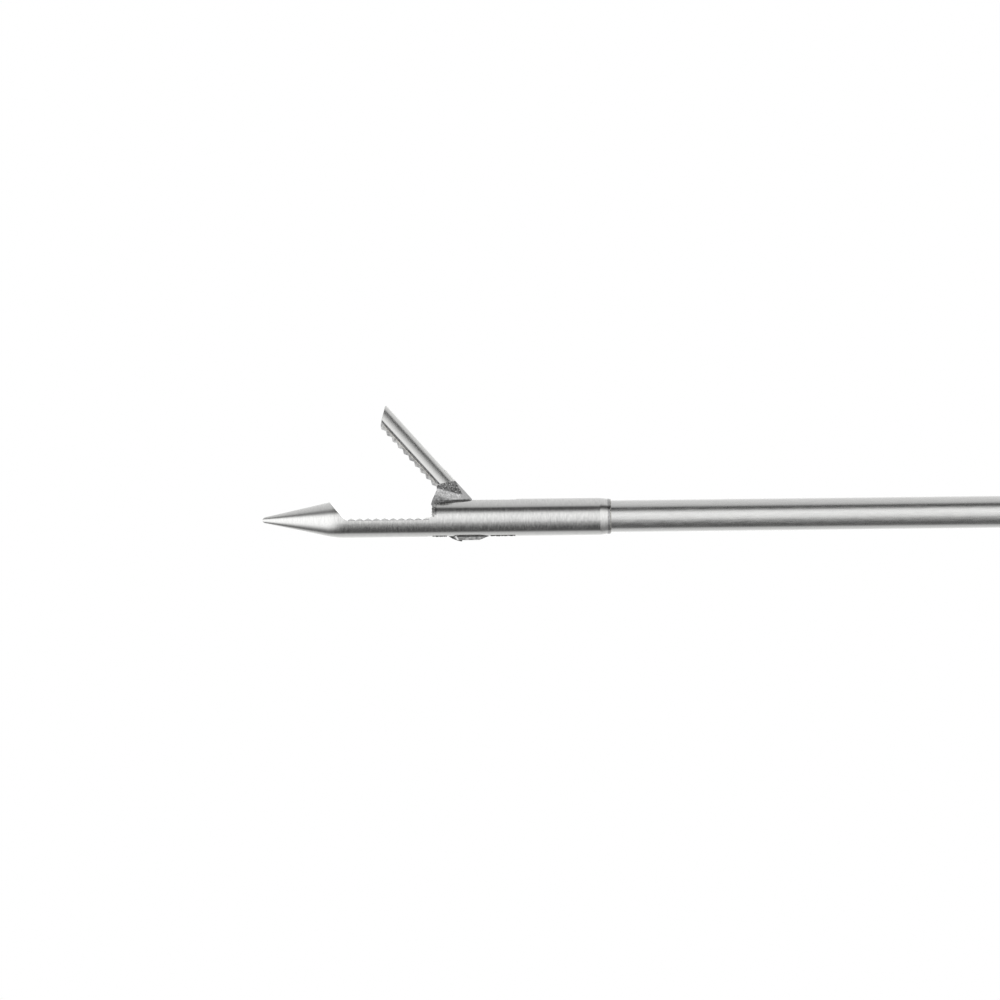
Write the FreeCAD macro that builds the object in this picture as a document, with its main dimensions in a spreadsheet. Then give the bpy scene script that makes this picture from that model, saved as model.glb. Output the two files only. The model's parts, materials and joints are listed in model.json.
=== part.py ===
import FreeCAD, Part
import os
import re
import Sketcher

# A 3 mm needle grasper with a ring handle, in millimetres. The origin lies on the shaft's axis
# at the rear shoulder of the jaw head, the tip points to -X and the jaw opens towards +Z.

sizes = {
    # jaw head: pointed nose, notch for the jaw, slot for the jaw's heel
    "head_radius": 1.5,
    "head_length": 27.1,
    "nose_tip_radius": 0.25,
    "nose_angle": 12.7,
    "nose_blend": 0.7,
    "notch_lip": 21.7,
    "notch_corner": 20.78,
    "notch_rear": 13.8,
    "notch_rear_corner": 0.3,
    "notch_top_lean": 0.3,
    "crown_start": 10.9,
    "crown_step": 1.19,
    "slot_front": 14.2,
    "slot_rear": 7.3,
    "slot_width": 1.06,
    "shoulder_taper": 0.78,
    "shoulder_step": 0.12,
    "socket_depth": 5.0,
    "rod_bore_front": 8.8,
    # serrations of both jaws
    "tooth_pitch": 0.65,
    "tooth_height": 0.16,
    "tooth_land": 0.05,
    "tooth_count": 10,
    "tooth_peak": 0.06,
    "jaw_gap": 0.06,
    # moving jaw
    "pivot_back": 11.25,
    "pivot_height": 0.43,
    "pivot_pin_radius": 0.4,
    "jaw_swing": 48.3,
    "seam_height": 0.46,
    "insert_width": 2.3,
    "jaw_rear": 14.25,
    "jaw_rear_lean": 0.63,
    "jaw_tip_round": 0.12,
    "jaw_tip_lean": 0.04,
    "neck_width": 1.0,
    "hub_radius": 0.92,
    "hub_top_angle": 30,
    "hub_rear_angle": 20,
    "heel_reach": 2.28,
    "heel_front_turn": 22,
    "heel_rear_turn": 16,
    "heel_front_reach": 2.45,
    "heel_front_angle": 48,
    "neck_reach": 2.78,
    "neck_brow_angle": 20,
    "neck_toe_angle": 34,
    # drive: a pin on the rod's tang works in a slot of the heel
    "drive_arm": 1.55,
    "drive_pin_radius": 0.25,
    "lap_gap": 0.02,
    "tang_end": 0.55,
    "tang_bottom": 1.72,
    "tang_flat_start": 12.0,
    "tang_flat_end": 10.2,
    "tang_slope_end": 9.35,
    "tang_slope_drop": 1.38,
    "tang_corner": 0.2,
    "tang_root": 0.28,
    "tang_step": 0.21,
    "tang_core": 0.42,
    "stub_front": 8.75,
    "stub_length": 0.4,
    # shaft
    "tube_radius": 1.27,
    "tube_wall": 0.3,
    "rod_radius": 0.7,
    "working_length": 170.0,
    # fits
    "fixed_fit": 0.005,
    "running_fit": 0.03,
    # rotation knob
    "knob_nose_radius": 3.0,
    "knob_nose_length": 7.0,
    "knob_nose_round": 0.6,
    "knob_flare_length": 4.2,
    "knob_flare_radius": 3.75,
    "wheel_radius": 9.0,
    "wheel_length": 9.0,
    "wheel_round": 1.2,
    "flute_count": 10,
    "flute_radius": 2.2,
    "flute_depth": 1.0,
    "stem_radius": 4.5,
    "stem_length": 19.5,
    "ferrule_radius": 2.6,
    "ferrule_length": 14.0,
    "ferrule_start": 8.5,
    "set_screw_radius": 1.0,
    "set_screw_length": 4.0,
    "set_screw_point": 0.6,
    "set_screw_bevel": 0.4,
    "set_screw_slot_width": 0.4,
    "set_screw_slot_depth": 0.8,
    "washer_radius": 7.0,
    "washer_thickness": 0.8,
    "ring_groove_depth": 0.5,
    "ring_thickness": 0.8,
    "ring_radius": 5.7,
    "ring_inset": 1.2,
    "ring_gap": 0.1,
    # handle barrel
    "barrel_radius": 8.0,
    "barrel_length": 31.0,
    "barrel_round": 1.5,
    "cavity_radius": 6.4,
    # seal and gland nut behind the stem
    "gland_length": 8.0,
    "gland_slot_width": 1.5,
    "gland_slot_depth": 1.2,
    "seal_section": 0.75,
    "seal_pocket": 1.55,
    # flush port
    "port_boss_height": 0.4,
    "port_thread_radius": 2.4,
    "port_throat_radius": 1.26,
    "port_flange_radius": 4.2,
    "port_flange_height": 1.2,
    "port_body_radius": 3.0,
    "port_height": 8.0,
    "port_ear_radius": 3.9,
    "port_ear_height": 1.4,
    "port_bore_radius": 2.1,
    "cap_radius": 5.0,
    "cap_height": 6.5,
    "cap_roof": 1.6,
    "cap_round": 0.8,
    "cap_gap": 0.1,
    "cap_plug_length": 4.0,
    "cap_rib_count": 12,
    "cap_rib_radius": 0.55,
    "cap_rib_depth": 0.28,
    "gasket_thickness": 0.5,
    # lever pivot and ball
    "cheek_width": 14.0,
    "cheek_length": 18.0,
    "cheek_height": 7.0,
    "cheek_round": 3.5,
    "lever_thickness": 6.0,
    "lever_side_gap": 0.05,
    "lever_arm": 6.5,
    "lever_crown": 0.8,
    "lever_nose_gap": 0.4,
    "ball_back": 8.2,
    "ball_radius": 2.5,
    "ball_slot_floor": 1.0,
    "nut_across": 3.2,
    "nut_length": 1.6,
    "nut_slit_gap": 0.23,
    "rod_tail": 0.6,
    "screw_radius": 1.5,
    "screw_head_radius": 3.0,
    "screw_head_height": 1.6,
    "screw_head_round": 0.8,
    "screw_head_dome": 0.96,
    "screw_slot_width": 0.7,
    "screw_slot_depth": 0.8,
    "bush_wall": 0.6,
    "pivot_nut_across": 5.5,
    "pivot_nut_height": 2.0,
    "stop_radius": 1.2,
    "stop_length": 11.0,
    "stop_bevel": 0.4,
    "stop_slot_width": 0.6,
    "stop_slot_depth": 0.6,
    "stop_drop": 10.2,
    "stop_gap": 0.1,
    # ring handles
    "ring_bore": 11.0,
    "ring_wall": 3.6,
    "ring_depth": 6.0,
    "ring_edge": 1.4,
    "rest_radius": 2.8,
    "rest_bend": 11.0,
    "rest_angle": 150,
    "rest_shift": 4.0,
    "finger_ring_back": 36.0,
    "finger_ring_drop": 66.0,
    "thumb_ring_back": 31.0,
    "thumb_ring_drop": 60.0,
    "shank_width": 8.0,
    "shank_thickness": 5.0,
    "shank_edge": 1.0,
    "shank_bow": 1.0,
    "shank_root": 16.2,
    "shank_ring_angle": 75,
    "lever_root_angle": 30,
    "lever_rear_angle": 10,
    "lever_front_angle": 60,
    "lever_ring_angle": 70,
    "lever_bow": 2.4,
    "lever_bow_drop": 27.0,
    "lever_waist": 1.2,
    "lever_waist_drop": 31.2,
}

doc = FreeCAD.newDocument("Grasper")
sheet = doc.addObject("Spreadsheet::Sheet", "Sizes")
for row, (alias, number) in enumerate(sizes.items(), start=1):
    sheet.set(f"A{row}", alias)
    sheet.set(f"B{row}", str(number))
    sheet.setAlias(f"B{row}", alias)
doc.recompute()

# Sizes that follow from the driving ones, as expressions.
derived = {
    "pivot_x": "(0 - pivot_back)",
    "drive_z": "(pivot_height - drive_arm)",
    "drive_swing": "(drive_arm * tan(jaw_swing / 2))",
    "drive_x": "(pivot_x - drive_swing)",
    "stroke": "(2 * drive_swing)",
    "head_bore": "(rod_radius + 2 * running_fit)",
    "tooth_valley": "(tooth_peak - tooth_height)",
    "insert_bottom": "(tooth_valley + jaw_gap)",
    "knob_x": "(working_length - head_length)",
    "wheel_x": "(knob_x + knob_nose_length)",
    "stem_x": "(wheel_x + wheel_length)",
    "ferrule_x": "(knob_x + ferrule_start)",
    "ferrule_end": "(ferrule_x + ferrule_length)",
    "barrel_x": "(stem_x + washer_thickness)",
    "barrel_end": "(barrel_x + barrel_length)",
    "ring_x": "(stem_x + stem_length - ring_inset - ring_thickness)",
    "cavity_x": "(ring_x - ring_gap)",
    "gland_x": "(barrel_end - gland_length)",
    "ball_x": "(barrel_end + ball_back)",
    "lever_x": "(ball_x + stroke / 2)",
    "lever_swing": "(2 * atan(stroke / 2 / lever_arm) / (1 deg))",
    "cheek_end": "(barrel_end + cheek_length)",
    "cheek_slot": "(lever_thickness + 2 * lever_side_gap)",
    "bush_radius": "(screw_radius + running_fit + bush_wall)",
    "ring_outer": "(ring_bore + ring_wall)",
    "port_x": "((stem_x + stem_length + gland_x) / 2)",
    "port_seat": "(barrel_radius + port_boss_height)",
    "port_top": "(port_seat + port_height)",
}


def bound(text):
    """The expression with every size name turned into its cell."""
    def swap(found):
        word = found.group(0)
        if word in derived:
            return bound(derived[word])
        return "Sizes." + word if word in sizes else word
    return re.sub(r"[a-z][a-z_]*", swap, text)


def value(text):
    """The number that the expression gives now."""
    return float(sheet.evalExpression(bound(text)))


def newBody(label):
    body = doc.addObject("PartDesign::Body", label)
    body.Label = label
    return body


def placeBody(body, x="0", y="0", z="0", axis=None, angle=None):
    """Puts the body at a place given by sizes, turned about an axis through its own origin."""
    if axis is not None:
        turn = FreeCAD.Rotation(FreeCAD.Vector(*axis), value(angle))
        body.Placement = FreeCAD.Placement(FreeCAD.Vector(), turn)
        body.setExpression("Placement.Rotation.Angle", bound(angle) + " * 1 deg")
    for name, place in (("x", x), ("y", y), ("z", z)):
        if place != "0":
            body.setExpression("Placement.Base." + name, bound(place))


def newSketch(body, name, plane, offset=None, shift=None):
    """A sketch on one of the body's origin planes, moved along its normal by the offset and
    along its own first axis by the shift."""
    sketch = body.newObject("Sketcher::SketchObject", name)
    support = [f for f in body.Origin.OriginFeatures if f.Role == plane][0]
    sketch.AttachmentSupport = [(support, "")]
    sketch.MapMode = "FlatFace"
    if offset is not None:
        sketch.setExpression("AttachmentOffset.Base.z", bound(offset))
    if shift is not None:
        sketch.setExpression("AttachmentOffset.Base.x", bound(shift))
    return sketch


def hold(sketch, index, which, point):
    """Dimensions one sketch point from the origin."""
    for kind, place in zip(("DistanceX", "DistanceY"), point):
        number = sketch.addConstraint(Sketcher.Constraint(kind, -1, 1, index, which, value(place)))
        sketch.setExpression(f"Constraints[{number}]", bound(place))


def outline(body, name, plane, points, offset=None, shift=None):
    """A closed outline. Points are pairs of expressions, and one marked via lies on an arc
    between its neighbours."""
    sketch = newSketch(body, name, plane, offset, shift)
    corners = [p for p in points if p[0] != "via"]
    count = len(corners)
    place = [FreeCAD.Vector(value(c[0]), value(c[1]), 0) for c in corners]
    ends = []
    arcs = []
    for i, corner in enumerate(corners):
        a, b = place[i], place[(i + 1) % count]
        after = points[(points.index(corner) + 1) % len(points)]
        if after[0] == "via":
            middle = FreeCAD.Vector(value(after[1]), value(after[2]), 0)
            # An arc is drawn anticlockwise, whichever way the outline runs.
            clockwise = (b - a).cross(middle - a).z > 0
            arc = Part.Arc(b, middle, a) if clockwise else Part.Arc(a, middle, b)
            sketch.addGeometry(arc, False)
            arcs.append((i, after[1:], middle))
        else:
            sketch.addGeometry(Part.LineSegment(a, b), False)
        forward = (sketch.Geometry[i].StartPoint - a).Length < 1e-7
        ends.append((1, 2) if forward else (2, 1))
    for i in range(count):
        after = (i + 1) % count
        sketch.addConstraint(Sketcher.Constraint("Coincident", i, ends[i][1], after, ends[after][0]))
    for i, corner in enumerate(corners):
        hold(sketch, i, ends[i][0], corner)
    for i, via, middle in arcs:
        point = sketch.addGeometry(Part.Point(middle), True)
        sketch.addConstraint(Sketcher.Constraint("PointOnObject", point, 1, i))
        hold(sketch, point, 1, via)
    return sketch


def roundSketch(body, name, plane, centre, radius, offset=None, shift=None):
    """A circle with its centre and radius held by sizes."""
    sketch = newSketch(body, name, plane, offset, shift)
    middle = FreeCAD.Vector(value(centre[0]), value(centre[1]), 0)
    sketch.addGeometry(Part.Circle(middle, FreeCAD.Vector(0, 0, 1), value(radius)), False)
    hold(sketch, 0, 3, centre)
    number = sketch.addConstraint(Sketcher.Constraint("Radius", 0, value(radius)))
    sketch.setExpression(f"Constraints[{number}]", bound(radius))
    return sketch


def pad(body, sketch, length, side="Symmetric"):
    feature = body.newObject("PartDesign::Pad", sketch.Name + "Pad")
    feature.Profile = sketch
    feature.SideType = side
    feature.setExpression("Length", bound(length))
    doc.recompute()
    return feature


def cut(body, sketch, depth=None, side="Symmetric"):
    """A pocket through everything, or to a depth, that has to take material away."""
    before = body.Shape.Volume
    feature = body.newObject("PartDesign::Pocket", sketch.Name + "Pocket")
    feature.Profile = sketch
    feature.SideType = side
    if depth is None:
        feature.Type = "ThroughAll"
    else:
        feature.setExpression("Length", bound(depth))
    doc.recompute()
    if not body.Shape.Volume < before - 1e-6:
        raise RuntimeError(sketch.Name + " cuts nothing")
    return feature


def turn(body, name, points, axis="X", groove=False):
    """A revolution about one of the body's axes, from points given as along, radius."""
    before = body.Shape.Volume if groove else 0
    flip = axis != "X"
    if flip:
        points = [(p[0], p[2], p[1]) if p[0] == "via" else (p[1], p[0]) for p in points]
    sketch = outline(body, name, "XY_Plane" if axis == "Y" else "XZ_Plane", points)
    kind = "PartDesign::Groove" if groove else "PartDesign::Revolution"
    feature = body.newObject(kind, name + "Turn")
    feature.Profile = sketch
    feature.ReferenceAxis = (sketch, ["V_Axis" if flip else "H_Axis"])
    doc.recompute()
    if groove and not body.Shape.Volume < before - 1e-6:
        raise RuntimeError(name + " cuts nothing")
    return feature


def repeat(body, feature, sketch, count, circular=True, extent=None):
    """Copies of a feature round the sketch's normal, or in line along its first axis."""
    before = body.Shape.Volume
    kind = "PartDesign::PolarPattern" if circular else "PartDesign::LinearPattern"
    pattern = body.newObject(kind, feature.Name + "Pattern")
    pattern.Originals = [feature]
    if circular:
        pattern.Axis = (sketch, ["N_Axis"])
        pattern.Angle = 360
    else:
        pattern.Direction = (sketch, ["H_Axis"])
        pattern.setExpression("Length", bound(extent))
    pattern.setExpression("Occurrences", bound(count))
    body.Tip = pattern
    doc.recompute()
    if abs(body.Shape.Volume - before) < 1e-6:
        raise RuntimeError(feature.Name + " is not repeated")
    return pattern


def soften(body, radius, chosen, kind="Fillet"):
    """Rounds or bevels the edges that the test picks."""
    base = body.Tip
    names = [f"Edge{i}" for i, edge in enumerate(base.Shape.Edges, start=1) if chosen(edge)]
    feature = body.newObject("PartDesign::" + kind, body.Name + kind)
    feature.Base = (base, names)
    feature.setExpression("Radius" if kind == "Fillet" else "Size", bound(radius))
    doc.recompute()
    return feature


def hexPoints(across):
    """The corners of a hexagon about the origin."""
    reach = f"({across} / 2 / cos(30))"
    return [(f"{reach} * cos({60 * i})", f"{reach} * sin({60 * i})") for i in range(6)]


def makeJawHead():
    """The pointed fixed jaw: a turned nose and barrel, notched, slotted and bored."""
    body = newBody("jaw_head")
    tangent_x = "(0 - head_length + nose_tip_radius * (1 - sin(nose_angle)))"
    tangent_r = "(nose_tip_radius * cos(nose_angle))"
    cone_end = f"({tangent_x} + (head_radius - {tangent_r}) / tan(nose_angle))"
    half_blend = "(nose_blend * cos(nose_angle))"
    sag = "(nose_blend * sin(nose_angle) / 4)"
    turn(body, "HeadProfile", [
        ("0 - head_length", "0"),
        ("via", "0 - head_length + nose_tip_radius * (1 - cos(45))", "nose_tip_radius * sin(45)"),
        (tangent_x, tangent_r),
        (f"{cone_end} - {half_blend}", "head_radius - nose_blend * sin(nose_angle)"),
        ("via", cone_end, f"head_radius - {sag}"),
        (f"{cone_end} + nose_blend", "head_radius"),
        ("0 - shoulder_taper", "head_radius"),
        ("0", "head_radius - shoulder_step"),
        ("0", "0"),
    ])
    notch = outline(body, "NotchOutline", "XZ_Plane", [
        ("0 - notch_corner", "tooth_peak"),
        ("0 - notch_rear - notch_rear_corner", "tooth_peak"),
        ("via", "0 - notch_rear - notch_rear_corner * (1 - sin(45))",
         "tooth_peak + notch_rear_corner * (1 - cos(45))"),
        ("0 - notch_rear", "tooth_peak + notch_rear_corner"),
        ("notch_top_lean - notch_rear", "crown_step"),
        ("0 - crown_start", "head_radius + jaw_gap"),
        ("0 - crown_start", "2 * head_radius"),
        ("0 - notch_lip - head_radius", "2 * head_radius"),
    ])
    cut(body, notch)
    groove = outline(body, "FloorTooth", "XZ_Plane", [
        ("0 - notch_corner + tooth_land / 2", "tooth_peak + jaw_gap"),
        ("0 - notch_corner + tooth_land / 2", "tooth_peak"),
        ("0 - notch_corner + tooth_pitch / 2", "tooth_valley"),
        ("0 - notch_corner + tooth_pitch - tooth_land / 2", "tooth_peak"),
        ("0 - notch_corner + tooth_pitch - tooth_land / 2", "tooth_peak + jaw_gap"),
    ])
    tooth = cut(body, groove)
    repeat(body, tooth, groove, "tooth_count", False, "(tooth_count - 1) * tooth_pitch")
    slot = outline(body, "HeelSlot", "XY_Plane", [
        ("0 - slot_front", "0 - slot_width / 2"),
        ("0 - slot_rear", "0 - slot_width / 2"),
        ("0 - slot_rear", "slot_width / 2"),
        ("0 - slot_front", "slot_width / 2"),
    ])
    cut(body, slot)
    pin = roundSketch(body, "PinHole", "XZ_Plane", ("pivot_x", "pivot_height"),
                      "pivot_pin_radius + fixed_fit")
    cut(body, pin)
    turn(body, "HeadBore", [
        ("0 - rod_bore_front", "0"),
        ("0 - rod_bore_front", "head_bore"),
        ("0 - socket_depth", "head_bore"),
        ("0 - socket_depth", "tube_radius + fixed_fit"),
        ("head_radius", "tube_radius + fixed_fit"),
        ("head_radius", "0"),
    ], groove=True)
    return body


def makeJawPin():
    """The jaw's pivot pin, ground flush with the head."""
    pin = doc.addObject("Part::Cylinder", "PinBlank")
    pin.setExpression("Radius", bound("pivot_pin_radius"))
    pin.setExpression("Height", bound("4 * head_radius"))
    pin.Placement = FreeCAD.Placement(FreeCAD.Vector(), FreeCAD.Rotation(FreeCAD.Vector(1, 0, 0), 90))
    pin.setExpression("Placement.Base.x", bound("pivot_x"))
    pin.setExpression("Placement.Base.y", bound("2 * head_radius"))
    pin.setExpression("Placement.Base.z", bound("pivot_height"))
    skin = doc.addObject("Part::Cylinder", "PinSkin")
    skin.setExpression("Radius", bound("head_radius"))
    skin.setExpression("Height", bound("2 * head_radius"))
    skin.Placement = FreeCAD.Placement(FreeCAD.Vector(), FreeCAD.Rotation(FreeCAD.Vector(0, 1, 0), 90))
    skin.setExpression("Placement.Base.x", bound("pivot_x - head_radius"))
    ground = doc.addObject("Part::Common", "jaw_pin")
    ground.Base = pin
    ground.Tool = skin
    ground.Label = "jaw_pin"
    doc.recompute()
    return ground


def makeJaw():
    """The moving jaw, drawn closed about its pivot and then swung open."""
    body = newBody("moving_jaw")
    chord = "sqrt(head_radius ^ 2 - seam_height ^ 2)"
    tip_x = "(pivot_back - notch_lip + jaw_gap)"
    rear_x = "(pivot_back - jaw_rear + jaw_rear_lean)"
    seam_z = "(seam_height - pivot_height)"
    crown_z = "(head_radius - pivot_height)"
    bottom_z = "(insert_bottom - pivot_height)"
    brow_x = "(pivot_back - notch_corner + tooth_count * tooth_pitch + lap_gap)"

    def reach(distance, angle):
        """A point ahead of the pivot, turned down from the jaw's line."""
        return (f"0 - {distance} * cos({angle})", f"0 - {distance} * sin({angle})")

    section = outline(body, "JawSection", "YZ_Plane", [
        (f"0 - {chord}", seam_z),
        (chord, seam_z),
        ("via", "0", crown_z),
    ], offset=tip_x)
    pad(body, section, f"{rear_x} - {tip_x}", "One side")
    # The tip face leans with the notch's front face.
    lean = "((notch_lip - notch_corner) * (seam_height - tooth_peak) / (head_radius - tooth_peak))"
    tip = outline(body, "TipFace", "XZ_Plane", [
        (f"{tip_x} - head_radius", f"{crown_z} + jaw_gap"),
        (f"{tip_x} - head_radius", f"{seam_z} - jaw_gap"),
        (f"pivot_back - notch_corner - {lean} + jaw_gap", f"{seam_z} - jaw_gap"),
        (f"pivot_back - notch_corner - {lean} + jaw_gap", seam_z),
        (tip_x + " + jaw_tip_lean", f"{crown_z} - jaw_tip_round"),
        (tip_x + " + jaw_tip_round", f"{crown_z} + jaw_gap"),
    ])
    cut(body, tip)
    rear = outline(body, "RearFace", "XZ_Plane", [
        (f"{rear_x} - jaw_rear_lean", f"{seam_z} - jaw_gap"),
        (f"{rear_x} + head_radius", f"{seam_z} - jaw_gap"),
        (f"{rear_x} + head_radius", f"{crown_z} + jaw_gap"),
        (rear_x, f"{crown_z} + jaw_gap"),
    ])
    cut(body, rear)
    neck = outline(body, "Neck", "XZ_Plane", [
        ("pivot_back - jaw_rear - neck_width", seam_z),
        (brow_x, seam_z),
        (brow_x, f"{bottom_z} + tooth_height"),
        ("pivot_back - slot_front + 2 * jaw_gap", bottom_z),
        reach("neck_reach", "neck_brow_angle"),
        ("via",) + reach("neck_reach", "(neck_brow_angle + neck_toe_angle) / 2"),
        reach("neck_reach", "neck_toe_angle"),
        ("0 - hub_radius * 2", "0 - hub_radius"),
        ("0", "0 - hub_radius"),
        ("via", "hub_radius", "0"),
        ("hub_radius * sin(hub_top_angle)", "hub_radius * cos(hub_top_angle)"),
        ("0 - neck_width / 2", crown_z),
        ("pivot_back - jaw_rear - neck_width / 2", crown_z),
    ])
    pad(body, neck, "neck_width")
    # The heel is lapped to half the neck's width, on the far side.
    heel_turn = "(jaw_swing / 2)"

    def below(angle):
        """A point on the heel's foot, turned back from straight below the pivot."""
        return (f"heel_reach * sin({angle})", f"0 - heel_reach * cos({angle})")

    heel = outline(body, "Heel", "XZ_Plane", [
        reach("neck_reach", "neck_brow_angle"),
        ("via",) + reach("neck_reach", "(neck_brow_angle + neck_toe_angle) / 2"),
        reach("neck_reach", "neck_toe_angle"),
        reach("heel_front_reach", "heel_front_angle"),
        below(f"({heel_turn} - heel_front_turn)"),
        ("via",) + below(heel_turn),
        below(f"({heel_turn} + heel_rear_turn)"),
        ("hub_radius * cos(hub_rear_angle)", "0 - hub_radius * sin(hub_rear_angle)"),
        ("0", "0"),
    ], offset="0 - neck_width / 2")
    pad(body, heel, "neck_width / 2 - lap_gap / 2", "One side")
    pin = roundSketch(body, "PivotHole", "XZ_Plane", ("0", "0"), "pivot_pin_radius + running_fit")
    cut(body, pin)
    # The drive slot runs outwards from the pivot, and is upright at the middle of the swing.
    near = "(drive_arm - running_fit)"
    far = f"(drive_arm / cos({heel_turn}) + running_fit)"
    half = "(drive_pin_radius + running_fit)"
    along = (f"sin({heel_turn})", f"(0 - cos({heel_turn}))")
    across = (f"cos({heel_turn})", f"sin({heel_turn})")

    def slotPoint(reach, side):
        return tuple(f"{reach} * {along[i]} + {side} * {across[i]}" for i in (0, 1))

    slot = outline(body, "DriveSlot", "XZ_Plane", [
        slotPoint(near, half),
        slotPoint(far, half),
        ("via",) + slotPoint(f"({far} + {half})", "0"),
        slotPoint(far, f"(0 - {half})"),
        slotPoint(near, f"(0 - {half})"),
        ("via",) + slotPoint(f"({near} - {half})", "0"),
    ])
    cut(body, slot)
    placeBody(body, "pivot_x", "0", "pivot_height", (0, 1, 0), "jaw_swing")
    return body


def makeJawInsert():
    """The serrated strip brazed under the moving jaw, drawn closed and swung open with it."""
    body = newBody("jaw_insert")
    seam_z = "(seam_height - pivot_height)"
    bottom_z = "(insert_bottom - pivot_height)"
    lean = "((notch_lip - notch_corner) * (seam_height - tooth_peak) / (head_radius - tooth_peak))"
    front = "(pivot_back - notch_corner + jaw_gap)"
    first = "(pivot_back - notch_corner + tooth_pitch)"
    last = f"({first} + (tooth_count - 1) * tooth_pitch)"
    strip = outline(body, "Strip", "XZ_Plane", [
        (f"{first} - tooth_pitch / 2 - tooth_land / 2", bottom_z),
        (f"{last} - tooth_pitch / 2 + tooth_land / 2", bottom_z),
        (last, f"{bottom_z} + tooth_height"),
        (last, seam_z),
        (f"{front} - {lean}", seam_z),
        (front, f"{bottom_z} + tooth_height"),
    ])
    pad(body, strip, "insert_width")
    groove = outline(body, "InsertTooth", "XZ_Plane", [
        (f"{first} - tooth_pitch / 2 + tooth_land / 2", f"{bottom_z} - jaw_gap"),
        (f"{first} - tooth_pitch / 2 + tooth_land / 2", bottom_z),
        (first, f"{bottom_z} + tooth_height"),
        (f"{first} + tooth_pitch / 2 - tooth_land / 2", bottom_z),
        (f"{first} + tooth_pitch / 2 - tooth_land / 2", f"{bottom_z} - jaw_gap"),
    ])
    tooth = cut(body, groove)
    repeat(body, tooth, groove, "tooth_count - 1", False, "(tooth_count - 2) * tooth_pitch")
    placeBody(body, "pivot_x", "0", "pivot_height", (0, 1, 0), "jaw_swing")
    return body


def makeDriveTang():
    """The blade on the rod's front end, on the near side, with the drive pin under the jaw."""
    body = newBody("drive_tang")
    top = "(pivot_height - hub_radius - 2 * running_fit)"
    blade = outline(body, "Blade", "XZ_Plane", [
        ("drive_x - tang_end", top + " - tang_corner"),
        ("drive_x - tang_end", "drive_z"),
        ("0 - tang_flat_start", "0 - tang_bottom"),
        ("0 - tang_flat_end", "0 - tang_bottom"),
        ("0 - tang_slope_end", "0 - tang_slope_drop"),
        ("0 - stub_front - tang_root", "0 - rod_radius"),
        ("0 - stub_front + stub_length / 2", "0 - tang_core"),
        ("0 - stub_front + stub_length / 2", "tang_core"),
        ("0 - stub_front - tang_end", "tang_step"),
        ("pivot_x + hub_radius + tang_end", top),
        ("drive_x - tang_end + tang_corner", top),
    ], offset="lap_gap / 2")
    pad(body, blade, "neck_width / 2 - lap_gap / 2", "One side")
    hole = roundSketch(body, "DriveHole", "XZ_Plane", ("drive_x", "drive_z"),
                       "drive_pin_radius + fixed_fit")
    cut(body, hole)
    turn(body, "Stub", [
        ("0 - stub_front", "0"),
        ("0 - stub_front", "rod_radius"),
        ("stub_length - stub_front", "rod_radius"),
        ("stub_length - stub_front", "0"),
    ])
    return body


def makeDrivePin():
    body = newBody("drive_pin")
    turn(body, "PinProfile", [
        ("0 - neck_width / 2", "0"),
        ("0 - neck_width / 2", "drive_pin_radius"),
        ("neck_width / 2", "drive_pin_radius"),
        ("neck_width / 2", "0"),
    ], "Y")
    placeBody(body, "drive_x", "0", "drive_z")
    return body


def tubePiece(label, start, end, outer, inner="0"):
    """A turned rod, or a tube where an inner radius is given, along the shaft's axis."""
    body = newBody(label)
    turn(body, body.Name + "Profile", [
        (start, inner),
        (start, outer),
        (end, outer),
        (end, inner),
    ])
    return body


def makeKnob():
    """The fluted wheel that turns the shaft, with its stem running back into the barrel."""
    body = newBody("rotation_knob")
    bore = "(tube_radius + fixed_fit)"
    well = "(ferrule_radius + fixed_fit)"
    stem_end = "(stem_x + stem_length)"
    groove_r = "(stem_radius - ring_groove_depth)"
    turn(body, "KnobProfile", [
        ("knob_x", bore),
        ("knob_x", "knob_nose_radius - knob_nose_round"),
        ("knob_x + knob_nose_round", "knob_nose_radius"),
        ("via", "knob_x + knob_flare_length", "knob_flare_radius"),
        ("wheel_x", "wheel_radius - wheel_round"),
        ("via", "wheel_x + wheel_round * (1 - sin(45))",
         "wheel_radius - wheel_round * (1 - cos(45))"),
        ("wheel_x + wheel_round", "wheel_radius"),
        ("stem_x - wheel_round", "wheel_radius"),
        ("via", "stem_x - wheel_round * (1 - sin(45))",
         "wheel_radius - wheel_round * (1 - cos(45))"),
        ("stem_x", "wheel_radius - wheel_round"),
        ("stem_x", "stem_radius"),
        ("ring_x", "stem_radius"),
        ("ring_x", groove_r),
        ("ring_x + ring_thickness", groove_r),
        ("ring_x + ring_thickness", "stem_radius"),
        (stem_end, "stem_radius"),
        (stem_end, well),
        ("ferrule_x", well),
        ("ferrule_x", bore),
    ])
    flute = roundSketch(body, "Flute", "YZ_Plane",
                        ("0", "wheel_radius + flute_radius - flute_depth"), "flute_radius",
                        offset="stem_x + wheel_round")
    groove = cut(body, flute, "wheel_length + 2 * wheel_round", "One side")
    repeat(body, groove, flute, "flute_count")
    screw = roundSketch(body, "SetScrewHole", "XY_Plane", ("wheel_x + wheel_length / 2", "0"),
                        "set_screw_radius + fixed_fit")
    cut(body, screw, "2 * wheel_radius", "One side")
    return body


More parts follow.
